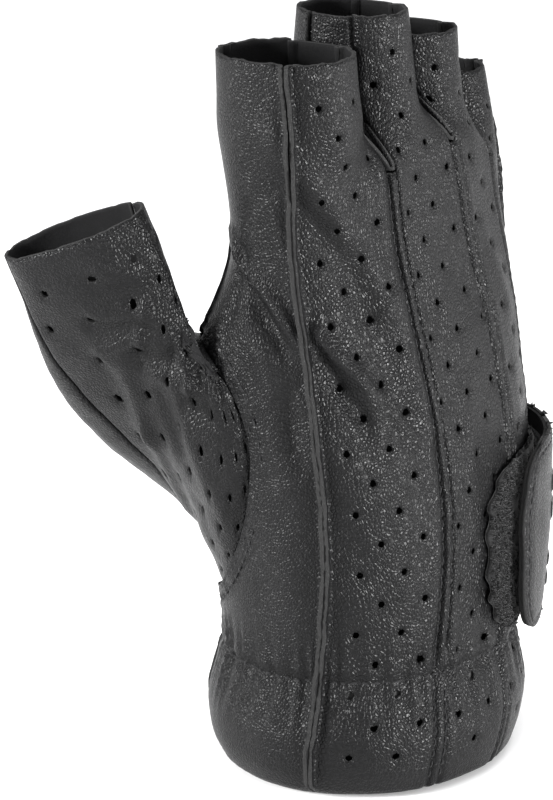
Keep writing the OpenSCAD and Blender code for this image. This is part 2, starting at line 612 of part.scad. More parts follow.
// two rows round the thumb hole, each in two arcs between the raw edges of the palm seam
module thumb_stitching() {
    color(thread_colour) soft() for (mm = [0.9, thumb_band]) for (arc = [[-82, 82], [98, 262]])
        skin_thread([for (i = [0 : 28])
            let (h = hole(mix(arc[0], arc[1], i / 28), mm)) [h[1], h[0]]], 0);
}
module strap_stitching() {
    inset = 1.8;
    z0 = strap_z0 + inset;
    z1 = strap_z1 - inset;
    heights = [for (t = END_HEIGHTS) mix(z0, z1, t)];
    to = strap_root_angle - 2;
    tip = strap_tip + 2.6;
    color(thread_colour) soft() skin_thread(concat(
        [for (i = [0 : 7]) [z0, mix(to, tip + strap_round, i / 8)]],
        [for (z = heights) [z, tip + strap_round * end_curve(z, z0, z1)]],
        [for (i = [7 : -1 : 0]) [z1, mix(to, tip + strap_round, i / 8)]]), strap_out);
}
module root_stitching() {
    color(thread_colour) soft() for (share = [0.8, 0.92])
        skin_thread([for (i = [0 : 8])
            [mix(strap_z0 + 2, strap_z1 - 2, i / 8), root_phi(share)]],
            strap_out - root_drop(share));
}
module loop_patch_stitching() {
    inset = 1.4;
    z0 = strap_z0 + 2 + inset;
    z1 = strap_z1 - 2 - inset;
    tip = strap_tip - patch_margin + inset * 1.5;
    color(thread_colour) soft() skin_thread([for (t = END_HEIGHTS)
        let (z = mix(z0, z1, t)) [z, tip + strap_round * end_curve(z, z0, z1)]], patch_out);
}

back_panel();
side_panel();
palm_panel();
fourchette_index_middle();
fourchette_middle_ring();
fourchette_ring_little();
thumb_back();
thumb_palm();
wrist_elastic();
loop_patch();
strap_root();
strap();
strap_lining();
hook_patch();
tuck_stitching();
hem_stitching();
thumb_stitching();
strap_stitching();
root_stitching();
loop_patch_stitching();
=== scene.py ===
# %% [markdown]
# # A half-finger leather glove
# The glove stands on its cuff. Lengths are worked out in millimetres, because that is how
# a glove maker measures, and become metres when a mesh is made. Names in capitals are
# sizes. The share of a strip's width is called f, its height z, the angle round the hand
# a, and a length along the leather q.

# %% Load the CAD model
import math
import bmesh
import bpy
import numpy as np
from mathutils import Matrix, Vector
from mathutils.geometry import delaunay_2d_cdt


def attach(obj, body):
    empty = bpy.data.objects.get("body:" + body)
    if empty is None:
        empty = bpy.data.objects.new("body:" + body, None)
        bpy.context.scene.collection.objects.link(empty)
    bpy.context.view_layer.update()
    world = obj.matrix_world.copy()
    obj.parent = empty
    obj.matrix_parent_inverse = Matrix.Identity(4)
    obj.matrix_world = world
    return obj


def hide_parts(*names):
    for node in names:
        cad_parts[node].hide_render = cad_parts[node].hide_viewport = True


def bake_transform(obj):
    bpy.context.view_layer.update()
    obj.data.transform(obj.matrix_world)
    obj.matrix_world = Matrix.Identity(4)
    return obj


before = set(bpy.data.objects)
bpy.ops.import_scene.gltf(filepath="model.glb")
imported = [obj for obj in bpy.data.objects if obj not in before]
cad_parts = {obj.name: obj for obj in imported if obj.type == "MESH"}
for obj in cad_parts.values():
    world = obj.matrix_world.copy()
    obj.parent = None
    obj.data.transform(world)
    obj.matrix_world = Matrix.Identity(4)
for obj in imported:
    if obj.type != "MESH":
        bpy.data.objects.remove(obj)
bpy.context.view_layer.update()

# %% [markdown]
# ## Camera and light
# The glove is seen from the thumb side, a little from above, with a long lens, so that the
# fingers and the cuff have nearly the same scale. Black leather is drawn by what it
# reflects: a few soft boxes give the highlights on the folds, broken up by the grain, and
# a pale surround fills the rest.

# %% Camera
LENS_MM = 182.25
AIM = Vector((-0.0164, 0.0152, 0.083))
TO_CAMERA = Vector((-0.802, -0.521, 0.292))
DISTANCE = 0.9
camera_data = bpy.data.cameras.new("camera")
camera_data.lens = LENS_MM
camera_data.sensor_width = 36
camera_data.clip_start = 0.05
camera = bpy.data.objects.new("camera", camera_data)
bpy.context.collection.objects.link(camera)
camera.location = AIM + TO_CAMERA.normalized() * DISTANCE
camera.rotation_mode = "QUATERNION"
camera.rotation_quaternion = (-TO_CAMERA).to_track_quat("-Z", "Y")
bpy.context.scene.camera = camera
bpy.context.scene.view_settings.view_transform = "Standard"
print("camera at", [round(v, 3) for v in camera.location])

# %% Studio
def soft_light(name, place, aim, width, height, watts):
    """A rectangular soft box that faces a point, in metres and watts."""
    light = bpy.data.lights.new(name, "AREA")
    light.shape = "RECTANGLE"
    light.size = width
    light.size_y = height
    light.energy = watts
    lamp = bpy.data.objects.new(name, light)
    bpy.context.collection.objects.link(lamp)
    lamp.location = place
    direction = Vector(aim) - Vector(place)
    lamp.rotation_mode = "QUATERNION"
    lamp.rotation_quaternion = direction.to_track_quat("-Z", "Y")
    return lamp

GLOVE_MIDDLE = (0, 0, 0.085)
# name, place, width and height in metres, watts
SOFT_BOXES = [
    ("key_back", (-0.05, -1.04, 0.06), 0.22, 0.35, 44.0),
    ("right_rim", (0.75, -0.7, 0.2), 0.3, 0.4, 2.0),
    ("key_left", (-0.82, 0.57, 0.33), 0.24, 0.35, 27.0),
    ("top", (-0.1, -0.25, 1.1), 0.35, 0.35, 6.0)]
for name, place, width, height, watts in SOFT_BOXES:
    soft_light(name, place, GLOVE_MIDDLE, width, height, watts)

world = bpy.data.worlds.new("studio")
bpy.context.scene.world = world
world.use_nodes = True
surround = world.node_tree.nodes["Background"]
surround.inputs["Color"].default_value = (0.93, 0.93, 0.94, 1)
surround.inputs["Strength"].default_value = 0.9

FLOOR_HALF = 3.0
FLOOR_Z = -0.0006
FLOOR_CORNERS = [(-1, -1), (1, -1), (1, 1), (-1, 1)]
floor_data = bpy.data.meshes.new("floor")
floor_data.from_pydata([(x * FLOOR_HALF, y * FLOOR_HALF, FLOOR_Z) for x, y in FLOOR_CORNERS],
    [], [(0, 1, 2, 3)])
floor = bpy.data.objects.new("floor", floor_data)
bpy.context.collection.objects.link(floor)
floor_paint = bpy.data.materials.new("floor_paint")
floor_paint.use_nodes = True
paint = floor_paint.node_tree.nodes["Principled BSDF"]
paint.inputs["Base Color"].default_value = (0.94, 0.94, 0.94, 1)
paint.inputs["Roughness"].default_value = 0.9
floor_data.materials.append(floor_paint)

# %% [markdown]
# ## The shape of a gloved hand
# A pattern cutter describes a hand with girths at a few heights. Here each girth is a
# rounded oval, and a smooth curve through the heights gives the skin between them. A place
# on the skin is a height and an angle: 180 degrees is the thumb side, 270 the back of the
# hand, 0 the little finger side and 90 the palm.

# %% Small helpers
def mix(a, b, t):
    return a + (b - a) * t

def smooth(t):
    """A soft step: 0 up to 0, 1 from 1 on."""
    c = np.clip(t, 0, 1)
    return c * c * (3 - 2 * c)

def bell(x):
    """A soft bump: 1 at 0, almost nothing past 2."""
    return np.exp(-np.square(x))

def cosd(a):
    return np.cos(np.radians(a))

def sind(a):
    return np.sin(np.radians(a))

def power(c, p):
    """A power that keeps the sign."""
    return np.sign(c) * np.abs(c) ** p

def unit(v):
    v = np.asarray(v, float)
    return v / np.maximum(np.linalg.norm(v, axis=-1, keepdims=True), 1e-12)

def through(rows, p):
    """The smooth curve through rows of [place, values...], for an array of places."""
    rows = np.asarray(rows, float)
    x, y = rows[:, 0], rows[:, 1:]
    h = np.diff(x)
    chord = np.diff(y, axis=0) / h[:, None]
    inner = (chord[:-1] * h[1:, None] + chord[1:] * h[:-1, None]) / (h[:-1] + h[1:])[:, None]
    slope = np.concatenate([chord[:1], inner, chord[-1:]])
    p = np.clip(np.asarray(p, float), x[0], x[-1])
    i = np.clip(np.searchsorted(x, p, side="right") - 1, 0, len(x) - 2)
    t = ((p - x[i]) / h[i])[..., None]
    step = h[i][..., None]
    return (y[i] * (1 + 2 * t) * (1 - t) ** 2 + slope[i] * step * t * (1 - t) ** 2
        + y[i + 1] * t * t * (3 - 2 * t) + slope[i + 1] * step * t * t * (t - 1))

print("through", through([[0, 1], [10, 3]], np.array([5.0])))

# %% The sizes of this glove, in millimetres
KNUCKLE_W, KNUCKLE_D, CROTCH_Z, WEB_OUT = 85, 35.5, 139, 7.5
CUFF_W, CUFF_D, ELASTIC_Z, HEM_BULGE = 74, 62.4, 27, 1.4
LEATHER, GAP, THREAD, RIDGE = 0.9, 0.2, 0.5, 0.6
TUCK_W = RIDGE + 2 * (LEATHER + GAP)
HEM_TOP = ELASTIC_Z + 3
FOLD_R = LEATHER + 0.9
cw, cd, kw, kd = CUFF_W / 2, CUFF_D / 2, KNUCKLE_W / 2, KNUCKLE_D / 2

def rise(t):
    return ELASTIC_Z + (CROTCH_Z - ELASTIC_Z) * t

# height, centre x and y, half width, depth of back and palm, squareness
SECTIONS = [
    [0, -0.5, 0.7, cw - 1.4, cd + 0.2, cd + 0.2, 2],
    [5, -0.7, 1, cw + HEM_BULGE - 0.6, cd + HEM_BULGE + 0.8, cd + HEM_BULGE + 0.6, 2],
    [12, -0.7, 1, cw + HEM_BULGE, cd + HEM_BULGE + 1.4, cd + HEM_BULGE + 0.9, 2.05],
    [ELASTIC_Z, -0.2, 0.5, cw, cd, cd, 2.1],
    [rise(0.16), 1, 1, mix(cw, kw, 0.36), mix(cd, kd, 0.02), mix(cd, kd, 0.04), 2.2],
    [rise(0.38), 2.8, 2, kw, mix(cd, kd, 0.13), mix(cd, kd, 0.25), 2.3],
    [rise(0.61), 2.4, 2.5, kw + 0.5, mix(cd, kd, 0.45), mix(cd, kd, 0.58), 2.4],
    [rise(0.81), 1.5, 2.5, kw, mix(cd, kd, 0.8), mix(cd, kd, 0.88), 2.5],
    [rise(0.96), -0.4, 2, kw - 0.4, kd + 0.7, kd - 0.8, 2.5],
    [rise(1.1), -2.7, 1.5, kw - 1.5, kd - 0.7, kd - 2.2, 2.5]]
HOLE_Z0, HOLE_Z1 = 39, 102
WEB_Z = mix(HOLE_Z0, HOLE_Z1, 0.92)

def skin(z, phi, off=0.0):
    """A point of the hand's skin, off millimetres outside it."""
    z, phi, off = np.broadcast_arrays(*(np.asarray(v, float) for v in (z, phi, off)))
    cx, cy, w, dorsal, palmar, n = np.moveaxis(through(SECTIONS, z), -1, 0)
    a = phi % 360
    c, d = cosd(a), sind(a)
    web = WEB_OUT * bell((a - 143) / 26) * bell((z - WEB_Z) / 15)
    return np.stack([
        cx + (w + off) * power(c, 2 / n) + 0.9 * web * c,
        cy + (np.where(d < 0, dorsal, palmar) + off) * power(d, 2 / n) + 0.9 * web * d,
        z], -1)

def skin_deg(mm, z, phi):
    """Degrees round the skin for a distance in millimetres."""
    phi = np.asarray(phi, float)
    return 2 * mm / np.linalg.norm(skin(z, phi + 1) - skin(z, phi - 1), axis=-1)

# centre x at the knuckles and rim, centre y, rim height, half width and depth low and high
FINGERS = [
    [-0.69 * kw, -35.4, 0.4, CROTCH_Z + 28, 0.31 * kw, kd - 0.4, 13.3, 15],
    [-0.122 * kw, -10.5, -0.5, CROTCH_Z + 33.5, 0.245 * kw, kd - 0.8, 10.1, 12.2],
    [0.355 * kw, 10.4, -1, CROTCH_Z + 26, 0.225 * kw, kd - 1.6, 9.6, 12],
    [0.782 * kw, 31.6, 3.4, CROTCH_Z + 13, 0.19 * kw, kd - 3.2, 8.6, 10.75]]

def stall(k, z, psi, off=0.0):
    """A point of finger k's stall at an angle round it."""
    f = FINGERS[k]
    t = (z - rise(0.9)) / (f[3] - rise(0.9))
    c, d = cosd(psi), sind(psi)
    return np.stack(np.broadcast_arrays(
        mix(f[0], f[1], t) + (mix(f[4], f[6], t) + off) * power(c, 2 / 2.2),
        mix(2, f[2], t) + (mix(f[5], f[7], t) + off) * power(d, 2 / 2.2),
        z), -1)

def stall_deg(mm, k, z, psi):
    """Degrees round a stall for a distance in millimetres."""
    return 2 * mm / np.linalg.norm(stall(k, z, psi + 1) - stall(k, z, psi - 1), axis=-1)

print("knuckles", np.round(skin(np.array([130.0]), np.array([180.0])), 1))

# %% Lines up the hand
LINE_Z = [0] + [rise(t) for t in (0.001, 0.3, 0.61, 0.88, 1)]

def line(*angles):
    """A function that gives a seam's angle at any height."""
    rows = [[z, a] for z, a in zip(LINE_Z, angles)]
    return lambda z: through(rows, z)[..., 0]

radial_seam = line(194, 196, 201, 200, 196, 195)
palm_seam = line(116, 118, 128, 141, 135, 120)
ulnar_seam = line(350, 350, 350, 345, 335, 330)
TUCK_LINES = [line(241, 245, 252, 252.5, 251.5, 251.5), line(274, 279, 284, 284, 279, 278),
    line(306, 310, 314, 314, 308, 306)]
PALM_LINES = [line(92, 94, 103, 107.5, 108.5, 108.5), line(64, 66, 74, 76, 81, 82),
    line(34, 36, 43, 46, 52, 54)]
SLITS = [CROTCH_Z, CROTCH_Z + 2, CROTCH_Z - 5]
RADIAL_PSI, PALM_PSI, ULNAR_PSI, SIDE_PSI = 206, 97, 335, 24
STALL_BLEND, EARLY_DROP = 15, 20

def hand_place(k, z, phi, psi, slit, early, off=0.0):
    """A point on the hand that turns into finger k's stall above the slit beside it."""
    sooner = EARLY_DROP * early
    s = np.where(z <= ELASTIC_Z, 0, smooth((z - slit + sooner) / (STALL_BLEND + sooner)))
    return mix(skin(z, phi, off), stall(k, z, psi, off), s[..., None])

print("radial seam at 60 mm:", round(float(radial_seam(np.array(60.0))), 1), "degrees")

# %% [markdown]
# ## Strips of the pattern
# The back is one piece of leather, but it is easiest to cut out as four strips, one for
# each finger, with a narrow tuck between each two. A strip says how far across it (0 to 1)
# and how high a place is, and gives the point in space.

# %% Strip of the back, the palm or the side
def back_strip(k):
    """Finger k's part of the back, from its thumb side to its little finger side."""
    def place(f, z, off=0.0):
        half = lambda i: skin_deg(TUCK_W / 2, z, TUCK_LINES[i](z))
        left = radial_seam(z) if k == 0 else TUCK_LINES[k - 1](z) + half(k - 1)
        right = ulnar_seam(z) if k == 3 else TUCK_LINES[k](z) - half(k)
        psi = mix(RADIAL_PSI if k == 0 else 180 + SIDE_PSI,
            ULNAR_PSI if k == 3 else 360 - SIDE_PSI, f)
        slit = mix(SLITS[max(k - 1, 0)], SLITS[min(k, 2)], f)
        early = {0: 1 - f, 3: f}.get(k, 0 * f)
        return hand_place(k, z, mix(left, right, f), psi, slit, early, off)
    return place

def palm_strip(k):
    """Finger k's part of the palm, from its little finger side to its thumb side."""
    def place(f, z, off=0.0):
        half = lambda i: skin_deg(TUCK_W / 2, z, PALM_LINES[i](z))
        left = ulnar_seam(z) - 360 if k == 3 else PALM_LINES[k](z) + half(k)
        right = palm_seam(z) if k == 0 else PALM_LINES[k - 1](z) - half(k - 1)
        psi = mix(ULNAR_PSI - 360 if k == 3 else SIDE_PSI,
            PALM_PSI if k == 0 else 180 - SIDE_PSI, f)
        slit = mix(SLITS[min(k, 2)], SLITS[max(k - 1, 0)], f)
        early = {0: f, 3: 1 - f}.get(k, 0 * f)
        return hand_place(k, z, mix(left, right, f), psi, slit, early, off)
    return place

def side_strip(f, z, off=0.0):
    """The side panel, from the palm seam to the seam of the back."""
    return hand_place(0, z, mix(palm_seam(z), radial_seam(z), f), mix(PALM_PSI, RADIAL_PSI, f),
        SLITS[0], 1 + 0 * f, off)

def tuck_strip(lines, i):
    """The narrow strip between two fingers."""
    def place(f, z, off=0.0):
        middle = lines[i](z)
        half = skin_deg(TUCK_W / 2, z, middle)
        return skin(z, middle + mix(-half, half, f), off)
    return place

def width_of(place, z):
    """The girth of a strip at each height, in millimetres."""
    f = np.linspace(0, 1, 33)[None, :]
    points = place(f, z[:, None] + 0 * f)
    return np.linalg.norm(np.diff(points, axis=1), axis=-1).sum(1)

print("widths of the back's strips at 90 mm:",
    [round(float(width_of(back_strip(k), np.array([90.0]))[0]), 1) for k in range(4)])

# %% [markdown]
# ## The turned-in hem
# At the cuff the leather turns round the elastic and runs up inside. A length q along the
# leather stands for that: it is the height on the outside, and goes negative round the fold
# and up the inside.

# %% From length along the leather to height and inset
FOLD_LENGTH = math.pi * FOLD_R
HEM_Q = FOLD_R - FOLD_LENGTH - (HEM_TOP - FOLD_R)

def hem(q):
    """Height and distance inwards for a length along the leather."""
    angle = np.clip((FOLD_R - q) / FOLD_R, 0, math.pi)
    z = np.where(q > FOLD_R, q, np.where(q > FOLD_R - FOLD_LENGTH,
        FOLD_R - FOLD_R * np.sin(angle), FOLD_R + (FOLD_R - FOLD_LENGTH - q)))
    return z, -FOLD_R * (1 - np.cos(angle))

print("the leather runs from", round(HEM_Q, 1), "mm inside the hem")

# %% [markdown]
# ## Folds and wrinkles
# Worn leather has a few long soft folds, gathers where the elastic pulls it in, and a
# gentle unevenness everywhere. Each fold is a line on the skin with a height and a width.
# Real geometry is used for them, because a fold changes the outline and the highlight, and
# a bump in the material could only do the second.

# %% Relief of the hand
# from height and angle, to height and angle, height of the fold and its half width
FOLDS = [
    # across the back: the crest from the index finger, and the folds below it
    (150, 190, 132, 222, 1.5, 5.0), (132, 222, 112, 241, 1.7, 5.5), (112, 241, 84, 249, 1.2, 4.5),
    (141, 200, 120, 226, -0.8, 5.0), (120, 226, 98, 238, -1.0, 5.5),
    (107, 207, 97, 223, 1.5, 2.6), (97, 223, 89, 229, 1.2, 2.4), (101, 206, 86, 223, -1.5, 2.6),
    (107, 203, 93, 230, 0.5, 1.2), (93, 230, 78, 245, 0.8, 1.3), (86, 224, 76, 238, 0.5, 3.5),
    (82, 206, 62, 236, 0.7, 6.0), (70, 212, 48, 232, 0.4, 4.0),
    # on the side, running out of the fork of the thumb
    (127, 146, 117, 178, 0.8, 1.3), (117, 178, 103, 199, 1.4, 2.0), (114, 177, 103, 188, -1.1, 2.0),
    (128, 154, 113, 176, 0.6, 0.9), (124, 164, 108, 182, -0.7, 1.6), (108, 172, 96, 186, 1.1, 4.0),
    (98, 188, 78, 192, -0.7, 2.8), (90, 179, 72, 187, 0.6, 4.0), (134, 186, 112, 198, 0.6, 3.0),
    (66, 178, 46, 186, 0.4, 5.0),
    # elsewhere
    (146, 219, 116, 232, -0.4, 3.6), (60, 262, 88, 268, 0.5, 3.0), (50, 292, 84, 296, 0.4, 4.0),
    (118, 262, 96, 270, 0.5, 3.0), (118, 290, 100, 300, 0.4, 3.5), (104, 160, 134, 172, -0.6, 2.4)]
DEGREE_MM = 0.7
FOLD_STRENGTH = 1.3
WORN_SHARE = 0.9

def line_distance(z, a, z0, a0, z1, a1):
    """Distance from a line on the skin, and how far along it a place lies."""
    u, v = (a1 - a0) * DEGREE_MM, z1 - z0
    x, y = (a - a0) * DEGREE_MM, z - z0
    t = np.clip((x * u + y * v) / (u * u + v * v), 0, 1)
    return np.hypot(x - t * u, y - t * v), t

def lumps(p, size, seed, waves=7):
    """Soft unevenness between about -1 and 1, from a few waves of about one length."""
    rng = np.random.default_rng(seed)
    total = np.zeros(p.shape[:-1])
    for _ in range(waves):
        direction = unit(rng.normal(size=3)) * rng.uniform(0.6, 1.5) / size
        total += np.sin(2 * np.pi * (p @ direction) + rng.uniform(0, 6.28))
    return total / math.sqrt(waves / 2) / 1.6

def relief(p, z, a):
    """How far the worn leather stands proud of the smooth form at a point."""
    a = a % 360
    out = 0.22 * lumps(p, 26, 3) + 0.10 * lumps(p, 11, 5)
    for z0, a0, z1, a1, tall, wide in FOLDS:
        d, t = line_distance(z, a, z0, a0, z1, a1)
        taper = 0.55 + 0.45 * np.sin(np.pi * np.clip(t, 0.08, 0.92))
        out = out + FOLD_STRENGTH * tall * bell(d / wide) * taper
    above = z - ELASTIC_Z
    gather = np.sin(a * 0.82 + 1.7 * np.sin(a * 0.13)) + 0.6 * np.sin(a * 1.37 + 2)
    out = out + gather * (0.34 * bell((above - 3) / 5.5) + 0.28 * bell((above + 5) / 6))
    out = out - 0.85 * bell(above / 1.2) + 0.7 * bell((z - 14) / 8)
    return WORN_SHARE * out

def angle_of(p, z):
    """The skin's angle at a point in space."""
    cx, cy, w, dorsal, palmar, n = np.moveaxis(through(SECTIONS, z), -1, 0)
    x = (p[..., 0] - cx) / w
    y = p[..., 1] - cy
    y = y / np.where(y < 0, dorsal, palmar)
    return np.degrees(np.arctan2(power(y, n / 2), power(x, n / 2))) % 360

probe = skin(np.array([60.0]), np.array([222.0]))
print("angle found again:", np.round(angle_of(probe, np.array([60.0])), 1))

# %% [markdown]
# ## Cutting leather
# A cutter lays a pattern flat, marks the outline and punches the holes. The same is done
# here with a constrained triangulation: the outline and the rim of every hole become edges
# of the mesh, and evenly spread points fill the rest. The flat piece is then carried to its
# place in space, so the perforations are real holes with real walls.

# %% Triangulate a flat piece
def inside(polygon, points):
    """Which points lie inside a closed polygon."""
    x, y = points[:, 0][:, None], points[:, 1][:, None]
    x0, y0 = polygon[:, 0][None], polygon[:, 1][None]
    x1, y1 = np.roll(polygon[:, 0], -1)[None], np.roll(polygon[:, 1], -1)[None]
    crosses = (y0 > y) != (y1 > y)
    at = (x1 - x0) * (y - y0) / np.where(y1 == y0, 1e-9, y1 - y0) + x0
    return (np.sum(crosses & (x < at), axis=1) % 2) == 1

PUNCH_R = 0.85
HALO_MM = 0.45

def circle(x, y, radius, turn=0.0, sides=12):
    """Points of a small round outline."""
    ring = np.linspace(0, 2 * np.pi, sides + 1)[:-1] + turn
    return np.stack([x + radius * np.cos(ring), y + radius * np.sin(ring)], 1)

def nearest(points, centres):
    """Distance from each flat point to the nearest centre."""
    apart = points[:, None, :2] - np.asarray(centres, float).reshape(-1, 2)[None]
    return np.hypot(apart[..., 0], apart[..., 1]).min(1)

def cut_flat(outline, openings, fill, punches=()):
    """Triangles of a flat piece: an outline, large openings, fill points and round punches."""
    rings = [circle(x, y, PUNCH_R) for x, y in punches]
    if len(punches):
        fill = fill[nearest(fill, punches) > PUNCH_R + 0.75]
        halo = [circle(x, y, PUNCH_R + HALO_MM, 0.26) for x, y in punches]
        fill = np.concatenate([fill] + halo)
    loops = [np.asarray(outline)] + [np.asarray(o) for o in openings] + rings
    verts, edges = [], []
    for loop in loops:
        start = len(verts)
        verts.extend(loop.tolist())
        edges.extend((start + i, start + (i + 1) % len(loop)) for i in range(len(loop)))
    verts.extend(fill.tolist())
    result = delaunay_2d_cdt([Vector(v) for v in verts], edges, [], 0, 1e-4)
    flat = np.array([tuple(v) for v in result[0]])
    tris = np.array([f for f in result[2] if len(f) == 3])
    a, b, c = (flat[tris[:, i]] for i in range(3))
    area = (b[:, 0] - a[:, 0]) * (c[:, 1] - a[:, 1]) - (b[:, 1] - a[:, 1]) * (c[:, 0] - a[:, 0])
    tris[area < 0] = tris[area < 0][:, ::-1]
    middle = (a + b + c) / 3
    keep = (np.abs(area) > 1e-5) & inside(loops[0], middle)
    for o in openings:
        keep &= ~inside(np.asarray(o), middle)
    if len(punches):
        keep &= nearest(middle, punches) > PUNCH_R * 0.9
    return flat, tris[keep]

def hexagons(x0, x1, y0, y1, step):
    """Evenly spread points, each row shifted by half a step."""
    points = [np.zeros((0, 2))]
    for i, y in enumerate(np.arange(y0, y1, step * 0.866)):
        x = np.arange(x0 + (i % 2) * step / 2, x1, step)
        points.append(np.stack([x, y + 0 * x], 1))
    return np.concatenate(points)

test_flat, test_tris = cut_flat([(0, 0), (10, 0), (10, 10), (0, 10)], [], hexagons(1, 9, 1, 9, 1), [(5, 5)])
print("test piece:", len(test_tris), "triangles")

# %% Collect pieces and make one object
class Cutting:
    """Gathers points and faces in millimetres, and makes a Blender mesh from them."""
    def __init__(self):
        self.points = []
        self.faces = []
        self.count = 0

    def add(self, points, faces):
        self.points.append(np.asarray(points, float).reshape(-1, 3))
        self.faces.extend((np.asarray(faces, int) + self.count).tolist())
        self.count += len(self.points[-1])

    def add_grid(self, grid, closed=False):
        """Faces between rows of points, joined round each row if closed."""
        rows, cols = grid.shape[:2]
        idx = np.arange(rows * cols).reshape(rows, cols)
        right = np.roll(idx, -1, axis=1) if closed else idx[:, 1:]
        left = idx if closed else idx[:, :-1]
        quads = np.stack([left[:-1], right[:-1], right[1:], left[1:]], -1).reshape(-1, 4)
        self.add(grid.reshape(-1, 3), quads)

    def make(self, name, materials, weld=0.02):
        """The object, with points closer than weld millimetres made one."""
        mesh = bpy.data.meshes.new(name)
        mesh.from_pydata((np.concatenate(self.points) / 1000).tolist(), [], self.faces)
        for material in materials:
            mesh.materials.append(material)
        if weld:
            work = bmesh.new()
            work.from_mesh(mesh)
            bmesh.ops.remove_doubles(work, verts=work.verts, dist=weld / 1000)
            bmesh.ops.dissolve_degenerate(work, dist=1e-6, edges=work.edges)
            work.to_mesh(mesh)
            work.free()
        mesh.shade_smooth()
        piece = bpy.data.objects.new(name, mesh)
        bpy.context.collection.objects.link(piece)
        return piece

def thicken(piece, thickness=LEATHER, inner=1, rim=2):
    """Gives a sheet its thickness on the flesh side, with a cut edge."""
    solid = piece.modifiers.new("thickness", "SOLIDIFY")
    solid.thickness = thickness / 1000
    solid.offset = -1
    solid.material_offset = inner
    solid.material_offset_rim = rim
    return piece

print("cutting table ready")

# %% [markdown]
# ## Leather
# Glove leather is dyed goatskin: small rounded pebbles about a millimetre across, with fine
# creases between them, a half gloss on the tops and a duller valley. Voronoi cells give the
# pebbles, a finer noise the pores, and slow noise the uneven dye and polish. The base colour
# is also darkened in the creases, which is painted shade. The flesh side is a flat dark
# suede, and a cut edge shows the paler fibre under the dye.

# %% Material helpers
class Finish:
    """A material, with short ways to add and join its nodes."""
    def __init__(self, name, stretch):
        self.material = bpy.data.materials.new(name)
        self.material.use_nodes = True
        self.nodes = self.material.node_tree.nodes
        self.links = self.material.node_tree.links
        self.shader = self.nodes["Principled BSDF"]
        where = self.nodes.new("ShaderNodeTexCoord")
        mapping = self.nodes.new("ShaderNodeMapping")
        mapping.inputs["Scale"].default_value = stretch
        self.links.new(where.outputs["Object"], mapping.inputs["Vector"])
        self.place = mapping.outputs["Vector"]

    def noise(self, scale, detail=3.0, rough=0.55):
        """Soft noise over the piece, with its scale per metre."""
        node = self.nodes.new("ShaderNodeTexNoise")
        node.inputs["Scale"].default_value = scale
        node.inputs["Detail"].default_value = detail
        node.inputs["Roughness"].default_value = rough
        self.links.new(self.place, node.inputs["Vector"])
        return node.outputs["Fac"]

    def cells(self, place, cell_mm, feature):
        """Distances inside round cells of a size."""
        node = self.nodes.new("ShaderNodeTexVoronoi")
        node.feature = feature
        node.inputs["Scale"].default_value = 1000 / cell_mm
        if feature == "SMOOTH_F1":
            node.inputs["Smoothness"].default_value = 0.35
        self.links.new(place, node.inputs["Vector"])
        return node.outputs["Distance"]

    def ramp(self, source, stops):
        """Turns a value into a colour or another value by stops of (place, value)."""
        node = self.nodes.new("ShaderNodeValToRGB")
        while len(node.color_ramp.elements) < len(stops):
            node.color_ramp.elements.new(0.5)
        for element, (place, value) in zip(node.color_ramp.elements, stops):
            element.position = place
            element.color = (*value, 1) if isinstance(value, tuple) else (value, value, value, 1)
        self.links.new(source, node.inputs["Fac"])
        return node.outputs["Color"]

    def maths(self, operation, a, b):
        """One sum or product of two values, of which b may be a number."""
        node = self.nodes.new("ShaderNodeMath")
        node.operation = operation
        self.links.new(a, node.inputs[0])
        if isinstance(b, (int, float)):
            node.inputs[1].default_value = b
        else:
            self.links.new(b, node.inputs[1])
        return node.outputs[0]

    def weighted(self, *parts):
        """The sum of (value, weight) pairs."""
        scaled = [self.maths("MULTIPLY", value, weight) for value, weight in parts]
        total = scaled[0]
        for part in scaled[1:]:
            total = self.maths("ADD", total, part)
        return total

    def drive(self, socket, source):
        self.links.new(source, self.shader.inputs[socket])

    def bump(self, height, strength, depth_mm):
        node = self.nodes.new("ShaderNodeBump")
        node.inputs["Strength"].default_value = strength
        node.inputs["Distance"].default_value = depth_mm / 1000
        self.links.new(height, node.inputs["Height"])
        self.drive("Normal", node.outputs["Normal"])

def shades(dye, dark, light):
    """A darker and a lighter shade of a dye."""
    return tuple(v * dark for v in dye), tuple(v * light for v in dye)

print("helpers for", bpy.app.version_string)

# %% Grained leather
def grained_leather(name, cell_mm, depth_mm, dye, gloss, worn):
    """Pebbled leather: size and depth of the grain, colour, roughness and worn gloss."""
    leather = Finish(name, (1, 1, 0.86))
    shifted = leather.nodes.new("ShaderNodeVectorMath")
    shifted.operation = "MULTIPLY_ADD"
    leather.links.new(leather.noise(260, 2.0), shifted.inputs[0])
    shifted.inputs[1].default_value = (0.0007, 0.0007, 0.0007)
    leather.links.new(leather.place, shifted.inputs[2])
    grain = shifted.outputs[0]
    pebble = leather.cells(grain, cell_mm, "SMOOTH_F1")
    crease = leather.cells(grain, cell_mm, "DISTANCE_TO_EDGE")
    pores = leather.noise(5200, 2.0)
    patch = leather.noise(34, 3.0)
    cut = leather.ramp(crease, [(0.0, 0.0), (0.26, 0.85), (0.5, 1.0)])
    crown = leather.ramp(pebble, [(0.0, 1.0), (0.75, 0.0)])
    leather.bump(leather.weighted((cut, 0.75), (crown, 0.25), (pores, 0.12)), 1.0, depth_mm)
    dark, light = shades(dye, 0.55, 1.35)
    # painted shade: the base colour darkens in the grain's creases (cut), mixed with random patches of
    # uneven dye
    crease_shade_and_patch = leather.weighted((cut, 0.55), (patch, 0.45))
    leather.drive("Base Color", leather.ramp(crease_shade_and_patch, [(0.1, dark), (0.8, light)]))
    rough = leather.weighted((cut, -0.14), (patch, worn))
    leather.drive("Roughness", leather.maths("ADD", rough, gloss))
    leather.shader.inputs["Specular IOR Level"].default_value = 0.11
    return leather.material

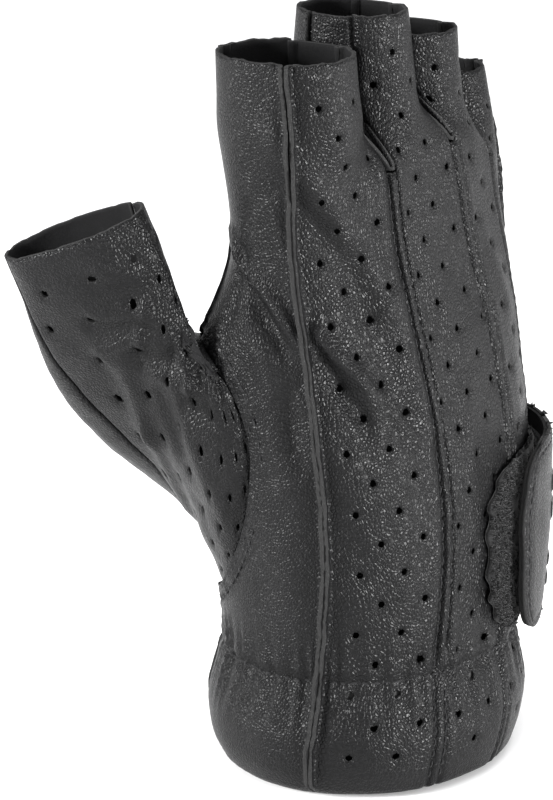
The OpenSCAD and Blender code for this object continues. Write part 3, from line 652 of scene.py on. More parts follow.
BLACK_DYE = (0.004, 0.004, 0.0042)
pebble_leather = grained_leather("pebble_leather", 0.76, 0.14, BLACK_DYE, 0.47, -0.12)
fine_leather = grained_leather("fine_leather", 0.68, 0.12, BLACK_DYE, 0.47, -0.10)
print("leathers", pebble_leather.name, fine_leather.name)

# %% Suede side, cut edge, thread and tapes
def fibrous(name, dye, rough, scale, depth_mm, sheen, stretch=(1, 1, 1)):
    """A matt fibrous finish, for suede, cut edges, thread and woven tapes."""
    cloth = Finish(name, stretch)
    fibre = cloth.noise(scale, 5.0, 0.7)
    dark, light = shades(dye, 0.55, 1.5)
    cloth.drive("Base Color", cloth.ramp(fibre, [(0.25, dark), (0.75, light)]))
    cloth.drive("Roughness", cloth.maths("ADD", cloth.weighted((fibre, 0.15)), rough - 0.07))
    cloth.bump(fibre, 0.9, depth_mm)
    cloth.shader.inputs["Sheen Weight"].default_value = sheen
    cloth.shader.inputs["Sheen Roughness"].default_value = 0.5
    cloth.shader.inputs["Specular IOR Level"].default_value = 0.08
    return cloth.material

suede = fibrous("suede_side", (0.008, 0.008, 0.0083), 0.9, 2600, 0.10, 0.02)
cut_edge = fibrous("cut_edge", (0.017, 0.017, 0.017), 0.85, 2300, 0.25, 0.02)
thread_finish = fibrous("thread_finish", (0.008, 0.008, 0.0085), 0.6, 5200, 0.08, 0.1, (1, 1, 0.4))
loop_finish = fibrous("loop_finish", (0.006, 0.006, 0.0062), 0.9, 4200, 0.08, 0.15)
hook_finish = fibrous("hook_finish", (0.013, 0.013, 0.0135), 0.6, 3000, 0.1, 0.1)
elastic_finish = fibrous("elastic_finish", (0.03, 0.03, 0.03), 0.85, 2600, 0.15, 0.3, (0.3, 0.3, 1))
print("finishes", [m.name for m in bpy.data.materials])

# %% [markdown]
# ## Panels with raw seams
# The side of the back panel, the side panel and the palm meet in outseams: the two edges
# stand up together outside the glove, a couple of millimetres high, and are left raw. So a
# panel's edge runs nearly flat, turns up in a small radius and ends in a slightly wavy cut.

# %% Heights that neighbouring strips share
EDGE_STEP = 1.15
FILL_STEP = 1.25
q_seen = FOLD_R - FOLD_LENGTH + EDGE_STEP * np.arange(200)
q_seen = q_seen[np.min(np.abs(q_seen[:, None] - np.array(SLITS)[None]), axis=1) > 0.45]
Q_LEVELS = np.sort(np.concatenate([
    np.arange(HEM_Q, FOLD_R - FOLD_LENGTH - 1.2, 2.6), q_seen, SLITS]))

def levels(top):
    """Lengths along the leather, from inside the hem up to a top edge."""
    return np.concatenate([Q_LEVELS[Q_LEVELS < top - 0.45], [top]])

print(len(levels(167)), "levels up the index finger")

# %% The worn form of a strip
def dimples(flat, punches):
    """The leather round a punched hole is pressed in a little."""
    if not len(punches):
        return 0.0
    return -0.28 * bell((nearest(flat, punches) - PUNCH_R) / 0.6)

def strip_relief(strip, f, z, off):
    """Carries places of a strip into space, with folds and with the pinch of its stitch lines."""
    base = strip["place"](f, z)
    a = angle_of(base, z)
    out = relief(base, z, a)
    width = strip["width"](z)
    for side, distance in (("left_pinch", f * width), ("right_pinch", (1 - f) * width)):
        if strip[side] is not None:
            deep = strip[side](z)
            out = out - deep * bell(distance / 0.5) + 0.22 * deep * bell((distance - 1.9) / 1.1)
    if strip["extra"] is not None:
        out = out + strip["extra"](z, a)
    return strip["place"](f, z, off + out)

def make_strip(place, top, left_pinch=None, right_pinch=None, extra=None, left=0.0, right=0.0):
    """A strip with its girth table. left and right are the mm that raw seams take up."""
    table_z = np.linspace(0, top + 1, 90)
    table = width_of(place, table_z)
    return {"place": place, "top": top, "width": lambda z: np.interp(z, table_z, table),
        "left_pinch": left_pinch, "right_pinch": right_pinch, "extra": extra,
        "left": left, "right": right}

print("strips are worked from their girths")

# %% Raw edge of a panel
SEAM_START = 1.9
# millimetres from the seam line and up from the skin, standing and lying flat
RAW_PROFILE = np.array([(1.9, 0.0), (1.5, 0.05), (1.2, 0.2), (1.04, 0.48), (0.98, 0.82),
    (0.95, 1.15), (0.94, 1.45), (0.95, 1.7)])
FLAT_PROFILE = np.array([(1.9, 0.0), (1.5, 0), (1.15, 0), (0.85, 0),
    (0.6, 0), (0.4, 0), (0.25, 0), (0.15, 0)])

def sway(z, seed):
    """The two plies of a raw seam lean together, a little to and fro."""
    calm = 0.45 + 0.55 * smooth((60 - z) / 40)
    return calm * (0.22 * np.sin(z * 0.37 + seed) + 0.16 * np.sin(z * 0.83 + 2 * seed)
        + 0.06 * np.sin(z * 2.3 + 3 * seed))

def raw_edge(cutting, strip, side, seed, q_low=HEM_Q, q_high=999.0, tall=1.0):
    """Adds the part of a strip that turns up at a raw seam; side is +1 at its left edge."""
    q = levels(strip["top"])
    q = q[(q >= q_low) & (q <= q_high)]
    z, inset = hem(q)
    stand = tall * smooth((q - 0.3) / 3.0)[:, None]
    profile = mix(FLAT_PROFILE[None], RAW_PROFILE[None], stand[..., None])
    share = np.linspace(0, 1, len(RAW_PROFILE))[None] ** 1.5
    lean = side * sway(z, seed)[:, None] * share * stand
    ragged = (0.08 * np.sin(z * 2.7 + seed * side) + 0.08 * np.sin(z * 1.3 + 5 * seed)
        + 0.05 * np.sin(z * 6.1 + side))[:, None] * share * stand
    distance = (profile[..., 0] + lean) / strip["width"](z)[:, None]
    f = distance if side > 0 else 1 - distance
    zz = z[:, None] + 0 * f
    grid = strip_relief(strip, f, zz, inset[:, None] + profile[..., 1] + ragged)
    cutting.add_grid(grid[:, ::-1] if side > 0 else grid)

print("raw edge stands", RAW_PROFILE[-1][1], "mm high")

# %% Cut one strip
def cut_strip(cutting, strip, punches=(), openings=(), rim_wave=0.0, seed=0.0):
    """Cuts the flat part of a strip with its punches, and carries it into place."""
    top, left, right, width = strip["top"], strip["left"], strip["right"], strip["width"]
    q_edge = levels(top)
    w_edge = width(hem(q_edge)[0])
    x_left = left + 0 * q_edge
    x_right = w_edge - right
    count = int((x_right[-1] - x_left[-1]) / EDGE_STEP)
    rim_x = np.linspace(x_left[-1], x_right[-1], count + 1)[1:-1]
    hem_x = np.linspace(x_left[0], x_right[0], 8)[1:-1]
    outline = np.concatenate([
        np.stack([hem_x, 0 * hem_x + q_edge[0]], 1), np.stack([x_right, q_edge], 1),
        np.stack([rim_x[::-1], 0 * rim_x + q_edge[-1]], 1), np.stack([x_left, q_edge], 1)[::-1]])
    widest = w_edge.max()
    fill = np.concatenate([hexagons(0, widest, FOLD_R - FOLD_LENGTH - 1, top - 0.7, FILL_STEP),
        hexagons(0, widest, HEM_Q + 1.5, FOLD_R - FOLD_LENGTH - 1.5, 3.2)])
    room = width(hem(fill[:, 1])[0])
    fill = fill[(fill[:, 0] > left + 2.3) & (fill[:, 0] < room - right - 2.3)]
    near = [np.stack([x, q_edge[2:-1] + 0.4 * (i % 2)], 1)
        for i, r in enumerate((0.45, 1.0, 1.8)) for x in (x_left[2:-1] + r, x_right[2:-1] - r)]
    flat, tris = cut_flat(outline, openings, np.concatenate([fill] + near), punches)
    z, inset = hem(flat[:, 1])
    f = flat[:, 0] / width(z)
    wave = rim_wave * (np.sin(flat[:, 0] * 0.9 + seed) + 0.6 * np.sin(flat[:, 0] * 2.3 + 2 * seed))
    z = z + wave * smooth((flat[:, 1] - top + 2.5) / 2.5)
    cutting.add(strip_relief(strip, f, z, inset + dimples(flat, punches)), tris)

def cut_tuck(cutting, place, top, deep=None):
    """The narrow strip between two fingers, with a ridge between its stitch lines if sewn."""
    q = levels(top)
    z, inset = hem(q)
    f = np.linspace(0, 1, 13)[None] + 0 * z[:, None]
    zz = z[:, None] + 0 * f
    base = place(f, zz)
    out = relief(base, zz, angle_of(base, zz))
    d = np.minimum(f, 1 - f) * TUCK_W
    if deep is not None:
        out = out + deep(zz) * (0.45 * smooth(d / 1.2) - bell(d / 0.5))
    cutting.add_grid(place(f, zz, inset[:, None] + out))

print("edge step", EDGE_STEP, "mm, fill step", FILL_STEP, "mm")

# %% [markdown]
# ## The back
# The whole back, with all four finger backs, is perforated: round holes of 1.7 mm in rows
# 7 mm apart, each row shifted by half the spacing, from the finger rims down into the hem.
# The rows count from the first tuck, and slip towards the thumb over the wide part of the
# hand. The three tucks between the fingers are pinched up and sewn through twice.

# %% Perforation
HOLE_ROW, HOLE_PITCH = 7.0, 10.5
FIRST_ROW = 3.35
SLIP_MM, SLIP_AT, SLIP_SPREAD = 2.7, 76, 22

def punch_places(strip, across_start, keep_off=1.5, low=5.0, from_top=4.0):
    """Centres of the punches that fall on a strip, in its flat coordinates."""
    places = []
    for row, q in enumerate(np.arange(FIRST_ROW, strip["top"] - from_top, HOLE_ROW)):
        if q < low:
            continue
        width = float(strip["width"](q))
        start = float(across_start(q) + SLIP_MM * bell((q - SLIP_AT) / SLIP_SPREAD))
        shift = HOLE_PITCH / 2 * ((row + 1) % 2)
        for n in range(-9, 10):
            x = n * HOLE_PITCH + shift - start
            if strip["left"] + keep_off < x < width - strip["right"] - keep_off:
                places.append((x, q))
    return places

def sewn(z):
    """How deep a tuck's stitches pull in: all the way, less in the hem."""
    pull = 0.6 + 0.4 * smooth((z - ELASTIC_Z - 2) / 6) - 0.25 * bell((z - ELASTIC_Z) / 2)
    return pull * (0.82 + 0.18 * np.cos(z * 2.33))

back_strips = [make_strip(back_strip(k), FINGERS[k][3], left_pinch=None if k == 0 else sewn,
    right_pinch=None if k == 3 else sewn, left=SEAM_START if k == 0 else 0.0,
    right=SEAM_START if k == 3 else 0.0) for k in range(4)]

def back_start(k):
    """Distance from the first tuck to the left edge of a strip, in millimetres."""
    def start(q):
        w = [float(s["width"](q)) for s in back_strips]
        half = TUCK_W / 2
        return {0: -half - w[0], 1: half, 2: 3 * half + w[1], 3: 5 * half + w[1] + w[2]}[k]
    return start

back = Cutting()
punch_count = 0
for k, strip in enumerate(back_strips):
    punches = punch_places(strip, back_start(k))
    punch_count += len(punches)
    cut_strip(back, strip, punches, rim_wave=0.16, seed=k)
for i in range(3):
    cut_tuck(back, tuck_strip(TUCK_LINES, i), SLITS[i], sewn)
raw_edge(back, back_strips[0], 1, 0.7)
raw_edge(back, back_strips[3], -1, 2.2)
back_piece = thicken(back.make("back_leather", [pebble_leather, suede, cut_edge]))
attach(back_piece, "glove")
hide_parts("back_panel")
print(punch_count, "holes and", len(back_piece.data.polygons), "faces in the back")

# %% [markdown]
# ## The side and the palm
# Both are cut from a finer grain. They meet at the palm seam, which runs into the top of
# the thumb hole and leaves at its bottom. Round the hole their edge lies on the thumb and
# is sewn down with two rows of stitches.

# %% The thumb hole
HOLE_ANGLE = float((palm_seam(np.array(HOLE_Z1)) + palm_seam(np.array(HOLE_Z0))) / 2)
HOLE_SKEW = float((palm_seam(np.array(HOLE_Z1)) - palm_seam(np.array(HOLE_Z0))) / 2)
HOLE_BACKWARD, HOLE_PALMWARD = 41, 38
HOLE_MID, HOLE_TALL = (HOLE_Z0 + HOLE_Z1) / 2, (HOLE_Z1 - HOLE_Z0) / 2
HOLE_WIDE = 28.3
FIRST_STITCHES, SECOND_STITCHES = 0.9, 3.3

def hole(theta, mm):
    """Height and angle of the thumb hole's edge, mm millimetres outside it."""
    reach = np.where(cosd(theta) > 0, HOLE_BACKWARD, HOLE_PALMWARD)
    return (HOLE_MID + (HOLE_TALL + mm) * sind(theta),
        HOLE_ANGLE + (reach + 1.45 * mm) * cosd(theta) + HOLE_SKEW * sind(theta))

def hole_distance(z, a):
    """Millimetres outside the edge of the thumb hole, roughly."""
    up = (z - HOLE_MID) / HOLE_TALL
    across = a - HOLE_ANGLE - HOLE_SKEW * up
    across = across / np.where(across > 0, HOLE_BACKWARD, HOLE_PALMWARD)
    rho = np.hypot(across, up)
    half = (HOLE_WIDE * across ** 2 + HOLE_TALL * up ** 2) / np.maximum(rho ** 2, 1e-6)
    return (rho - 1) * half

def thumb_band(z, a):
    """The leather's edge round the thumb hole, raised by what lies under it and sewn twice."""
    mm = hole_distance(z, a)
    rows = bell((mm - FIRST_STITCHES) / 0.45) + bell((mm - SECOND_STITCHES) / 0.45)
    return 0.35 * smooth((5.2 - mm) / 1.5) - 0.65 * rows * (mm > -1)

def hole_in(strip, to_f):
    """The hole's outline in a strip's flat coordinates."""
    z, a = hole(np.arange(0, 360, 2.5), 0.0)
    return np.stack([to_f(z, a) * strip["width"](z), z], 1)

side = make_strip(side_strip, FINGERS[0][3], extra=thumb_band, left=SEAM_START, right=SEAM_START)
side_hole = hole_in(side, lambda z, a: (a - palm_seam(z)) / (radial_seam(z) - palm_seam(z)))
side_cut = Cutting()
cut_strip(side_cut, side, openings=[side_hole], rim_wave=0.16, seed=4)
raw_edge(side_cut, side, -1, 0.7)
raw_edge(side_cut, side, 1, 1.4, q_high=HOLE_Z0 - 0.3, tall=0.4)
raw_edge(side_cut, side, 1, 1.4, q_low=HOLE_Z1 + 0.3, tall=0.4)
side_piece = thicken(side_cut.make("side_leather", [fine_leather, suede, cut_edge]))
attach(side_piece, "glove")
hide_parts("side_panel")
print(len(side_piece.data.polygons), "faces in the side")

# %% The palm
palm_strips = [make_strip(palm_strip(k), FINGERS[k][3], extra=thumb_band if k < 3 else None,
    left=SEAM_START if k == 3 else 0.0, right=SEAM_START if k == 0 else 0.0) for k in range(4)]

def palm_hole(k):
    """The thumb hole's outline on a strip of the palm."""
    half = lambda i, z: skin_deg(TUCK_W / 2, z, PALM_LINES[i](z))
    left = lambda z: PALM_LINES[k](z) + half(k, z)
    right = lambda z: palm_seam(z) if k == 0 else PALM_LINES[k - 1](z) - half(k - 1, z)
    return hole_in(palm_strips[k], lambda z, a: (a - left(z)) / (right(z) - left(z)))

palm = Cutting()
for k, strip in enumerate(palm_strips):
    cut_strip(palm, strip, openings=[palm_hole(k)] if k < 2 else [], rim_wave=0.16, seed=6 + k)
for i in range(3):
    cut_tuck(palm, tuck_strip(PALM_LINES, i), SLITS[i])
raw_edge(palm, palm_strips[3], 1, 2.2)
raw_edge(palm, palm_strips[0], -1, 1.4, q_high=HOLE_Z0 - 0.3, tall=0.4)
raw_edge(palm, palm_strips[0], -1, 1.4, q_low=HOLE_Z1 + 0.3, tall=0.4)
palm_piece = thicken(palm.make("palm_leather", [fine_leather, suede, cut_edge]))
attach(palm_piece, "glove")
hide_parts("palm_panel")
print(len(palm_piece.data.polygons), "faces in the palm")

# %% [markdown]
# ## Fourchettes
# A fourchette is the strip that lines a slit: down one finger, across the bottom of the
# slit and up the next. Its two long edges are sewn under the edges of the back and palm.

# %% Fourchettes
SEAM_ROOM = 0.6
UNDERLAP = 0.12
SLIT_SHARE = 0.85

def slit_line(k, z, side_share, f):
    """Across the bottom of a slit, from the palm's line to the back's."""
    half_back = skin_deg(TUCK_W / 2, z, TUCK_LINES[k](z))
    half_palm = skin_deg(TUCK_W / 2, z, PALM_LINES[k](z))
    back_edge = skin(z, TUCK_LINES[k](z) - side_share * half_back, -LEATHER - GAP)
    palm_edge = skin(z, PALM_LINES[k](z) + side_share * half_palm, -LEATHER - GAP)
    return mix(palm_edge, back_edge, (0.5 + (f - 0.5) * SLIT_SHARE)[..., None])

def fourchette_wall(k, t, side_sign, f):
    """A wall of the slit; f runs from the palm's edge to the back's and a little under both."""
    finger = k if side_sign > 0 else k + 1
    z = mix(SLITS[k], FINGERS[finger][3] - 0.3, t)
    edge = SIDE_PSI - stall_deg(SEAM_ROOM, finger, z, SIDE_PSI)
    psi = mix(edge, -edge, f) if side_sign > 0 else mix(180 - edge, 180 + edge, f)
    s = smooth((z - SLITS[k]) / STALL_BLEND)
    under = smooth((np.abs(2 * f - 1) - 1 + UNDERLAP) / UNDERLAP)
    soft = 0.18 * np.sin(t * 9 + f * 5 + k) + 0.12 * np.sin(t * 21 - f * 9)
    wall = stall(finger, z, psi)
    follow = relief(wall, z, angle_of(wall, z))
    wall = stall(finger, z, psi, mix(0.5 * soft - GAP, follow - LEATHER - 0.03, under))
    point = mix(slit_line(k, z, side_sign, f), wall, s[..., None])
    point[..., 0] += side_sign * (LEATHER + GAP) * (1 - s)
    return point

for k, name in enumerate(("index_middle", "middle_ring", "ring_little")):
    f = np.linspace(-UNDERLAP, 1 + UNDERLAP, 31)[None]
    t = np.linspace(1, 0.05, 26)[:, None]
    share = np.linspace(1, -1, 5)[:, None]
    bottom = slit_line(k, SLITS[k] + 0 * share + 0 * f, share * RIDGE / TUCK_W, f + 0 * share)
    bottom[..., 2] += LEATHER + SEAM_ROOM
    grid = np.concatenate([fourchette_wall(k, t + 0 * f, 1, f + 0 * t), bottom,
        fourchette_wall(k, t[::-1] + 0 * f, -1, f + 0 * t)])
    cutting = Cutting()
    cutting.add_grid(grid)
    piece = thicken(cutting.make("fourchette_" + name, [fine_leather, suede, cut_edge]), 0.8)
    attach(piece, "glove")
    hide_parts("fourchette_" + name)
    print(piece.name, len(piece.data.polygons), "faces")

# %% [markdown]
# ## The thumb
# The thumb is a tube of two pieces set into the hole: a perforated back and a smooth palm
# side. It leaves the hole in the direction of the palm and turns up to its own opening.

# %% The thumb's form
THUMB_AXIS = unit([-0.3, 0.28, 0.91])
THUMB_ACROSS = np.array([0.3, -0.89, 0.34])
THUMB_ACROSS = unit(THUMB_ACROSS - THUMB_AXIS * (THUMB_ACROSS @ THUMB_AXIS))
THUMB_DEEP = np.cross(THUMB_AXIS, THUMB_ACROSS)
THUMB_CENTRE = np.array([-56.5, 41, 127])
THUMB_WIDE, THUMB_THICK = 33.6, 16
LEAVE = np.array([[-25, 9, 20], [-92, 132, -22], [-10, 15, 38], [-34, 26, 2]], float)
ARRIVE = np.array([45, 76, 60, 34], float)
UNDER = LEATHER + 0.35
THUMB_LENGTH = 70.0
THUMB_LAP = 4.0
THUMB_PITCH = 9.0

def thumb_point(theta, t):
    """A point of the thumb's smooth form, at an angle round it and a share of its length."""
    first = np.where(cosd(theta) > 0, 0, 1)
    end = np.where(sind(theta) < 0, 2, 3)
    share = (cosd(theta) ** 2)[..., None]
    leave = mix(LEAVE[end], LEAVE[first], share)
    arrive = mix(ARRIVE[end], ARRIVE[first], share[..., 0])[..., None] * THUMB_AXIS
    rim = (THUMB_CENTRE + THUMB_WIDE / 2 * power(cosd(theta), 0.9)[..., None] * THUMB_ACROSS
        + THUMB_THICK / 2 * power(sind(theta), 0.9)[..., None] * THUMB_DEEP)
    lap = np.clip(-t * THUMB_LENGTH, 0, THUMB_LAP)
    z, a = hole(theta, -GAP + lap)
    t = np.clip(t, 0, 1)[..., None]
    return (skin(z, a, -UNDER) * (2 * t ** 3 - 3 * t * t + 1) + leave * (t ** 3 - 2 * t * t + t)
        + rim * (3 * t * t - 2 * t ** 3) + arrive * (t ** 3 - t * t))

def thumb_seams(t):
    """Angles of the thumb's two seams at a share of its length."""
    t = np.clip(t, 0, 1)
    return mix(262, 198, smooth(t)), mix(78, 40, t)

# folds of the thumb: share of length and angle at both ends, height and half width
THUMB_FOLDS = [
    (0.78, 266, 0.74, 310, 0.8, 1.6), (0.74, 310, 0.66, 330, 0.7, 1.6), (0.76, 262, 0.71, 306, -0.6, 1.5),
    (0.70, 258, 0.69, 296, 0.9, 1.5), (0.69, 296, 0.63, 320, 0.8, 1.5), (0.67, 258, 0.65, 282, 0.7, 1.3),
    (0.66, 284, 0.60, 326, -1.0, 1.7), (0.61, 300, 0.51, 338, 1.1, 1.9), (0.51, 338, 0.34, 374, 1.2, 2.0),
    (0.50, 326, 0.40, 352, -0.8, 2.0), (0.62, 268, 0.48, 262, 1.0, 2.4), (0.48, 262, 0.26, 252, 0.9, 2.6),
    (0.56, 300, 0.44, 300, -0.9, 2.4), (0.60, 344, 0.48, 356, -0.9, 1.8), (0.44, 318, 0.20, 330, 0.6, 3.2),
    (0.34, 300, 0.12, 300, -0.4, 4.0), (0.88, 284, 0.82, 318, 0.5, 1.8), (0.84, 276, 0.80, 300, -0.4, 1.6)]
THUMB_DEGREE_MM = 0.28
THUMB_STRENGTH = 1.25

def turn_between(theta, seam):
    """Degrees between two angles, the short way round."""
    return np.abs((theta - seam + 180) % 360 - 180)

def thumb_place(theta, t, off=0.0):
    """A point of the thumb's leather, with its folds."""
    e = 1e-3
    point = thumb_point(theta, t)
    around = thumb_point(theta + 0.5, t) - thumb_point(theta - 0.5, t)
    t_in = np.clip(t, e, 1 - e)
    along = thumb_point(theta, t_in + e) - thumb_point(theta, t_in - e)
    normal = unit(np.cross(around, along))
    out = 0.16 * lumps(point, 17, 9) + 0.08 * lumps(point, 8, 11)
    for t0, a0, t1, a1, tall, wide in THUMB_FOLDS:
        u, v = (a1 - a0) * THUMB_DEGREE_MM, (t1 - t0) * THUMB_LENGTH
        x, y = (theta - a0) * THUMB_DEGREE_MM, (t - t0) * THUMB_LENGTH
        s = np.clip((x * u + y * v) / (u * u + v * v), 0, 1)
        out = out + THUMB_STRENGTH * tall * bell(np.hypot(x - s * u, y - s * v) / wide)
    low, high = thumb_seams(t)
    seam = np.minimum(turn_between(theta, low), turn_between(theta, high)) * THUMB_DEGREE_MM
    out = out * smooth(t / 0.1) - 0.6 * bell(seam / 0.5) * smooth(t / 0.08)
    return point + normal * (out + off)[..., None]

def cut_thumb(name, start, end, finish, punched, node):
    """One piece of the thumb, from one seam round to the other."""
    t_table = np.linspace(0, 1, 40)
    across = np.linspace(0, 1, 40)[None]
    angles = mix(start(t_table)[:, None], end(t_table)[:, None], across)
    girth = thumb_point(angles, t_table[:, None] + 0 * across)
    table = np.linalg.norm(np.diff(girth, axis=1), axis=-1).sum(1)
    width = lambda t: np.interp(t, t_table, table)
    y = np.linspace(-THUMB_LAP, THUMB_LENGTH, 66)
    w = width(y / THUMB_LENGTH)
    rim_x = np.linspace(0, w[-1], 36)[1:-1]
    low_x = np.linspace(0, w[0], 60)[1:-1]
    outline = np.concatenate([np.stack([low_x, 0 * low_x + y[0]], 1), np.stack([w, y], 1),
        np.stack([rim_x[::-1], 0 * rim_x + y[-1]], 1), np.stack([0 * w, y], 1)[::-1]])
    fill = hexagons(0, w.max(), y[0] + 0.8, y[-1] - 0.7, 1.2)
    fill = fill[(fill[:, 0] > 1.9) & (fill[:, 0] < width(fill[:, 1] / THUMB_LENGTH) - 1.9)]
    near = [np.stack([x, y[1:-1]], 1) for r in (0.5, 1.2) for x in (0 * w[1:-1] + r, w[1:-1] - r)]
    punches = []
    if punched:
        for i, row in enumerate(np.arange(5.0, THUMB_LENGTH - 3.5, HOLE_ROW)):
            room = width(row / THUMB_LENGTH)
            xs = np.arange(room / 2 - 60 + (i % 2) * THUMB_PITCH / 2, room - 3, THUMB_PITCH)
            punches += [(x, row) for x in xs if x > 3]
    flat, tris = cut_flat(outline, [], np.concatenate([fill] + near), punches)
    t = flat[:, 1] / THUMB_LENGTH
    f = flat[:, 0] / width(t)
    wave = 0.2 * np.sin(flat[:, 0] * 0.8) + 0.14 * np.sin(flat[:, 0] * 2.1)
    t = t + wave * smooth((flat[:, 1] - THUMB_LENGTH + 3) / 3) / THUMB_LENGTH
    cutting = Cutting()
    cutting.add(thumb_place(mix(start(t), end(t), f), t, dimples(flat, punches)), tris)
    piece = thicken(cutting.make(name, [finish, suede, cut_edge]), 0.85)
    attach(piece, "glove")
    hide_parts(node)
    print(name, len(piece.data.polygons), "faces,", len(punches), "holes")

SEAM_TURN = 0.25
cut_thumb("thumb_back_leather", lambda t: thumb_seams(t)[0] + SEAM_TURN,
    lambda t: 360 + thumb_seams(t)[1] - SEAM_TURN,
    pebble_leather, True, "thumb_back")
cut_thumb("thumb_palm_leather", lambda t: thumb_seams(t)[1] + SEAM_TURN,
    lambda t: thumb_seams(t)[0] - SEAM_TURN,
    fine_leather, False, "thumb_palm")

# %% [markdown]
# ## Elastic
# A woven band lies in the pocket of the hem. It hardly shows, but its ribs can be seen
# through the gap of the turned-up leather.

# %% The elastic band
a = np.linspace(0, 360, 181)[None, :-1]
z = np.linspace(ELASTIC_Z - 9.5, ELASTIC_Z - 1.8, 9)[:, None]
zz, aa = z + 0 * a, a + 0 * z
band = Cutting()
BAND_IN = 1.25
band.add_grid(skin(zz, aa, relief(skin(zz, aa), zz, aa) - BAND_IN), closed=True)
band_piece = thicken(band.make("elastic_band", [elastic_finish] * 3), 0.8)
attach(band_piece, "glove")
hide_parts("wrist_elastic")
print("elastic", len(band_piece.data.polygons), "faces")

# %% [markdown]
# ## Stitches
# Each stitch is a short bead of thread that bulges in its middle and dives into the leather
# at both ends. Hundreds of them follow the seam lines on the folded surface.

# %% Sew a row of stitches
def sew(cutting, points, normals, pitch=2.7, length=2.0, thick=0.27, tilt=0.0):
    """Beads of thread along a line of points, each as long as a stitch."""
    steps = np.linalg.norm(np.diff(points, axis=0), axis=1)
    walk = np.concatenate([[0], np.cumsum(steps)])
    sides = 6
    spins = np.arange(sides) * 2 * np.pi / sides
    s = np.array([-1, -0.86, -0.55, 0, 0.55, 0.86, 1])
    swell = np.array([0.25, 0.72, 0.95, 1.05, 0.95, 0.72, 0.25]) * thick
    sink = np.array([-0.26, -0.08, 0.08, 0.14, 0.08, -0.08, -0.26])
    for middle in np.arange(pitch / 2, walk[-1] - pitch / 2 + 1e-6, pitch):
        at = middle + s * length / 2
        centre = np.stack([np.interp(at, walk, points[:, i]) for i in range(3)], 1)
        up = unit(np.stack([np.interp(at, walk, normals[:, i]) for i in range(3)], 1))
        along = unit(centre[-1] - centre[0])
        across = unit(np.cross(along, up))
        centre = centre + up * sink[:, None] + across * (s * tilt)[:, None]
        bead = (np.cos(spins)[None, :, None] * across[:, None]
            + np.sin(spins)[None, :, None] * up[:, None])
        cutting.add_grid(centre[:, None] + swell[:, None, None] * bead, closed=True)
        first, last = cutting.count - len(s) * sides, cutting.count - sides
        cutting.faces.append([first + i for i in range(sides)][::-1])
        cutting.faces.append([last + i for i in range(sides)])

def finish_thread(cutting, name, node, body="glove"):
    """Makes the thread of a row of stitches, and sets it in its place."""
    piece = cutting.make(name, [thread_finish], weld=0)
    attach(piece, body)
    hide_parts(node)
    print(name, len(piece.data.polygons), "faces")
    return piece

def strip_row(strip, f, z):
    """Points and normals on a strip along one line."""
    points = strip_relief(strip, f, z, 0.0 * z)
    return points, unit(strip_relief(strip, f, z, 1.0 + 0 * z) - points)

def tab_row(z, a, off):
    """Points and normals along one line at a distance outside the skin."""
    points = skin(z, a, off)
    return points, unit(skin(z, a, off + 1) - points)

def skin_row(z, a, extra=None):
    """Points and normals on the worn skin along one line."""
    off = relief(skin(z, a), z, a % 360) + (extra(z, a % 360) if extra else 0)
    return tab_row(z, a, off)

tucks = Cutting()
for i in range(3):
    for k, f in ((i, 1.0), (i + 1, 0.0)):
        for low, high in ((3.0, ELASTIC_Z - 1.2), (ELASTIC_Z + 1.2, SLITS[i] - 1)):
            z = np.linspace(low, high, 160)
            points, normals = strip_row(back_strips[k], f + 0 * z, z)
            sew(tucks, points, normals, tilt=0.06)
finish_thread(tucks, "tuck_stitches", "tuck_stitching")

hem_row = Cutting()
SEAM_CLEAR = 2.4
seams = [float(seam(ELASTIC_Z)) for seam in (palm_seam, radial_seam, ulnar_seam)]
for start, end in zip(seams, seams[1:] + [seams[0] + 360]):
    a = np.linspace(start + SEAM_CLEAR, end - SEAM_CLEAR, 300)
    points, normals = skin_row(ELASTIC_Z + 0 * a, a)
    sew(hem_row, points, normals)
finish_thread(hem_row, "hem_stitches", "hem_stitching")

thumb_rows = Cutting()
for mm in (FIRST_STITCHES, SECOND_STITCHES):
    for start, end in ((-84, 84), (96, 264)):
        z, a = hole(np.linspace(start, end, 300), mm)
        points, normals = skin_row(z, a, thumb_band)
        sew(thumb_rows, points, normals)
finish_thread(thumb_rows, "thumb_stitches", "thumb_stitching")

# %% [markdown]
# ## The wrist strap
# The strap is one leather tab with rounded corners, sewn to the palm side of the cuff and
# lined with a second leather. Loop pile is sewn to the glove and hook tape to the lining.
# When the strap is peeled open the leather bends beside its sewn root. Here the piece runs
# in one from tip to root, is not cut at the hinge and is set on neither body; only the two
# ends of the bend are worked out.

# %% Strap sizes and form
STRAP_Z0, STRAP_W = 29.5, 41
# angles round the skin
STRAP_ROOT, STRAP_REACH, STRAP_ROUND, ROOT_LENGTH, ROOT_GAP = 352, 76, 20, 24, 0.45
STRAP_Z1 = STRAP_Z0 + STRAP_W
STRAP_TIP = STRAP_ROOT - STRAP_REACH
# millimetres, and the layers outwards from the skin
TAPE_T, PATCH_MARGIN, LAYER_GAP = 1.2, 8, 0.15
PATCH_IN = THREAD + LAYER_GAP + GAP
PATCH_OUT = PATCH_IN + TAPE_T
HOOK_IN = PATCH_OUT + 2 * GAP
LINING_IN = HOOK_IN + TAPE_T + LAYER_GAP
LINING_OUT = LINING_IN + LEATHER
STRAP_OUT = LINING_OUT + LAYER_GAP + LEATHER + 0.1
TAB_DEGREE_MM = 0.66

def end_curve(u):
    """How far round a rounded end lies, 0 at its middle and 1 at a corner, across the width."""
    return 1 - (1 - np.abs(2 * u - 1) ** 3) ** (1 / 3)

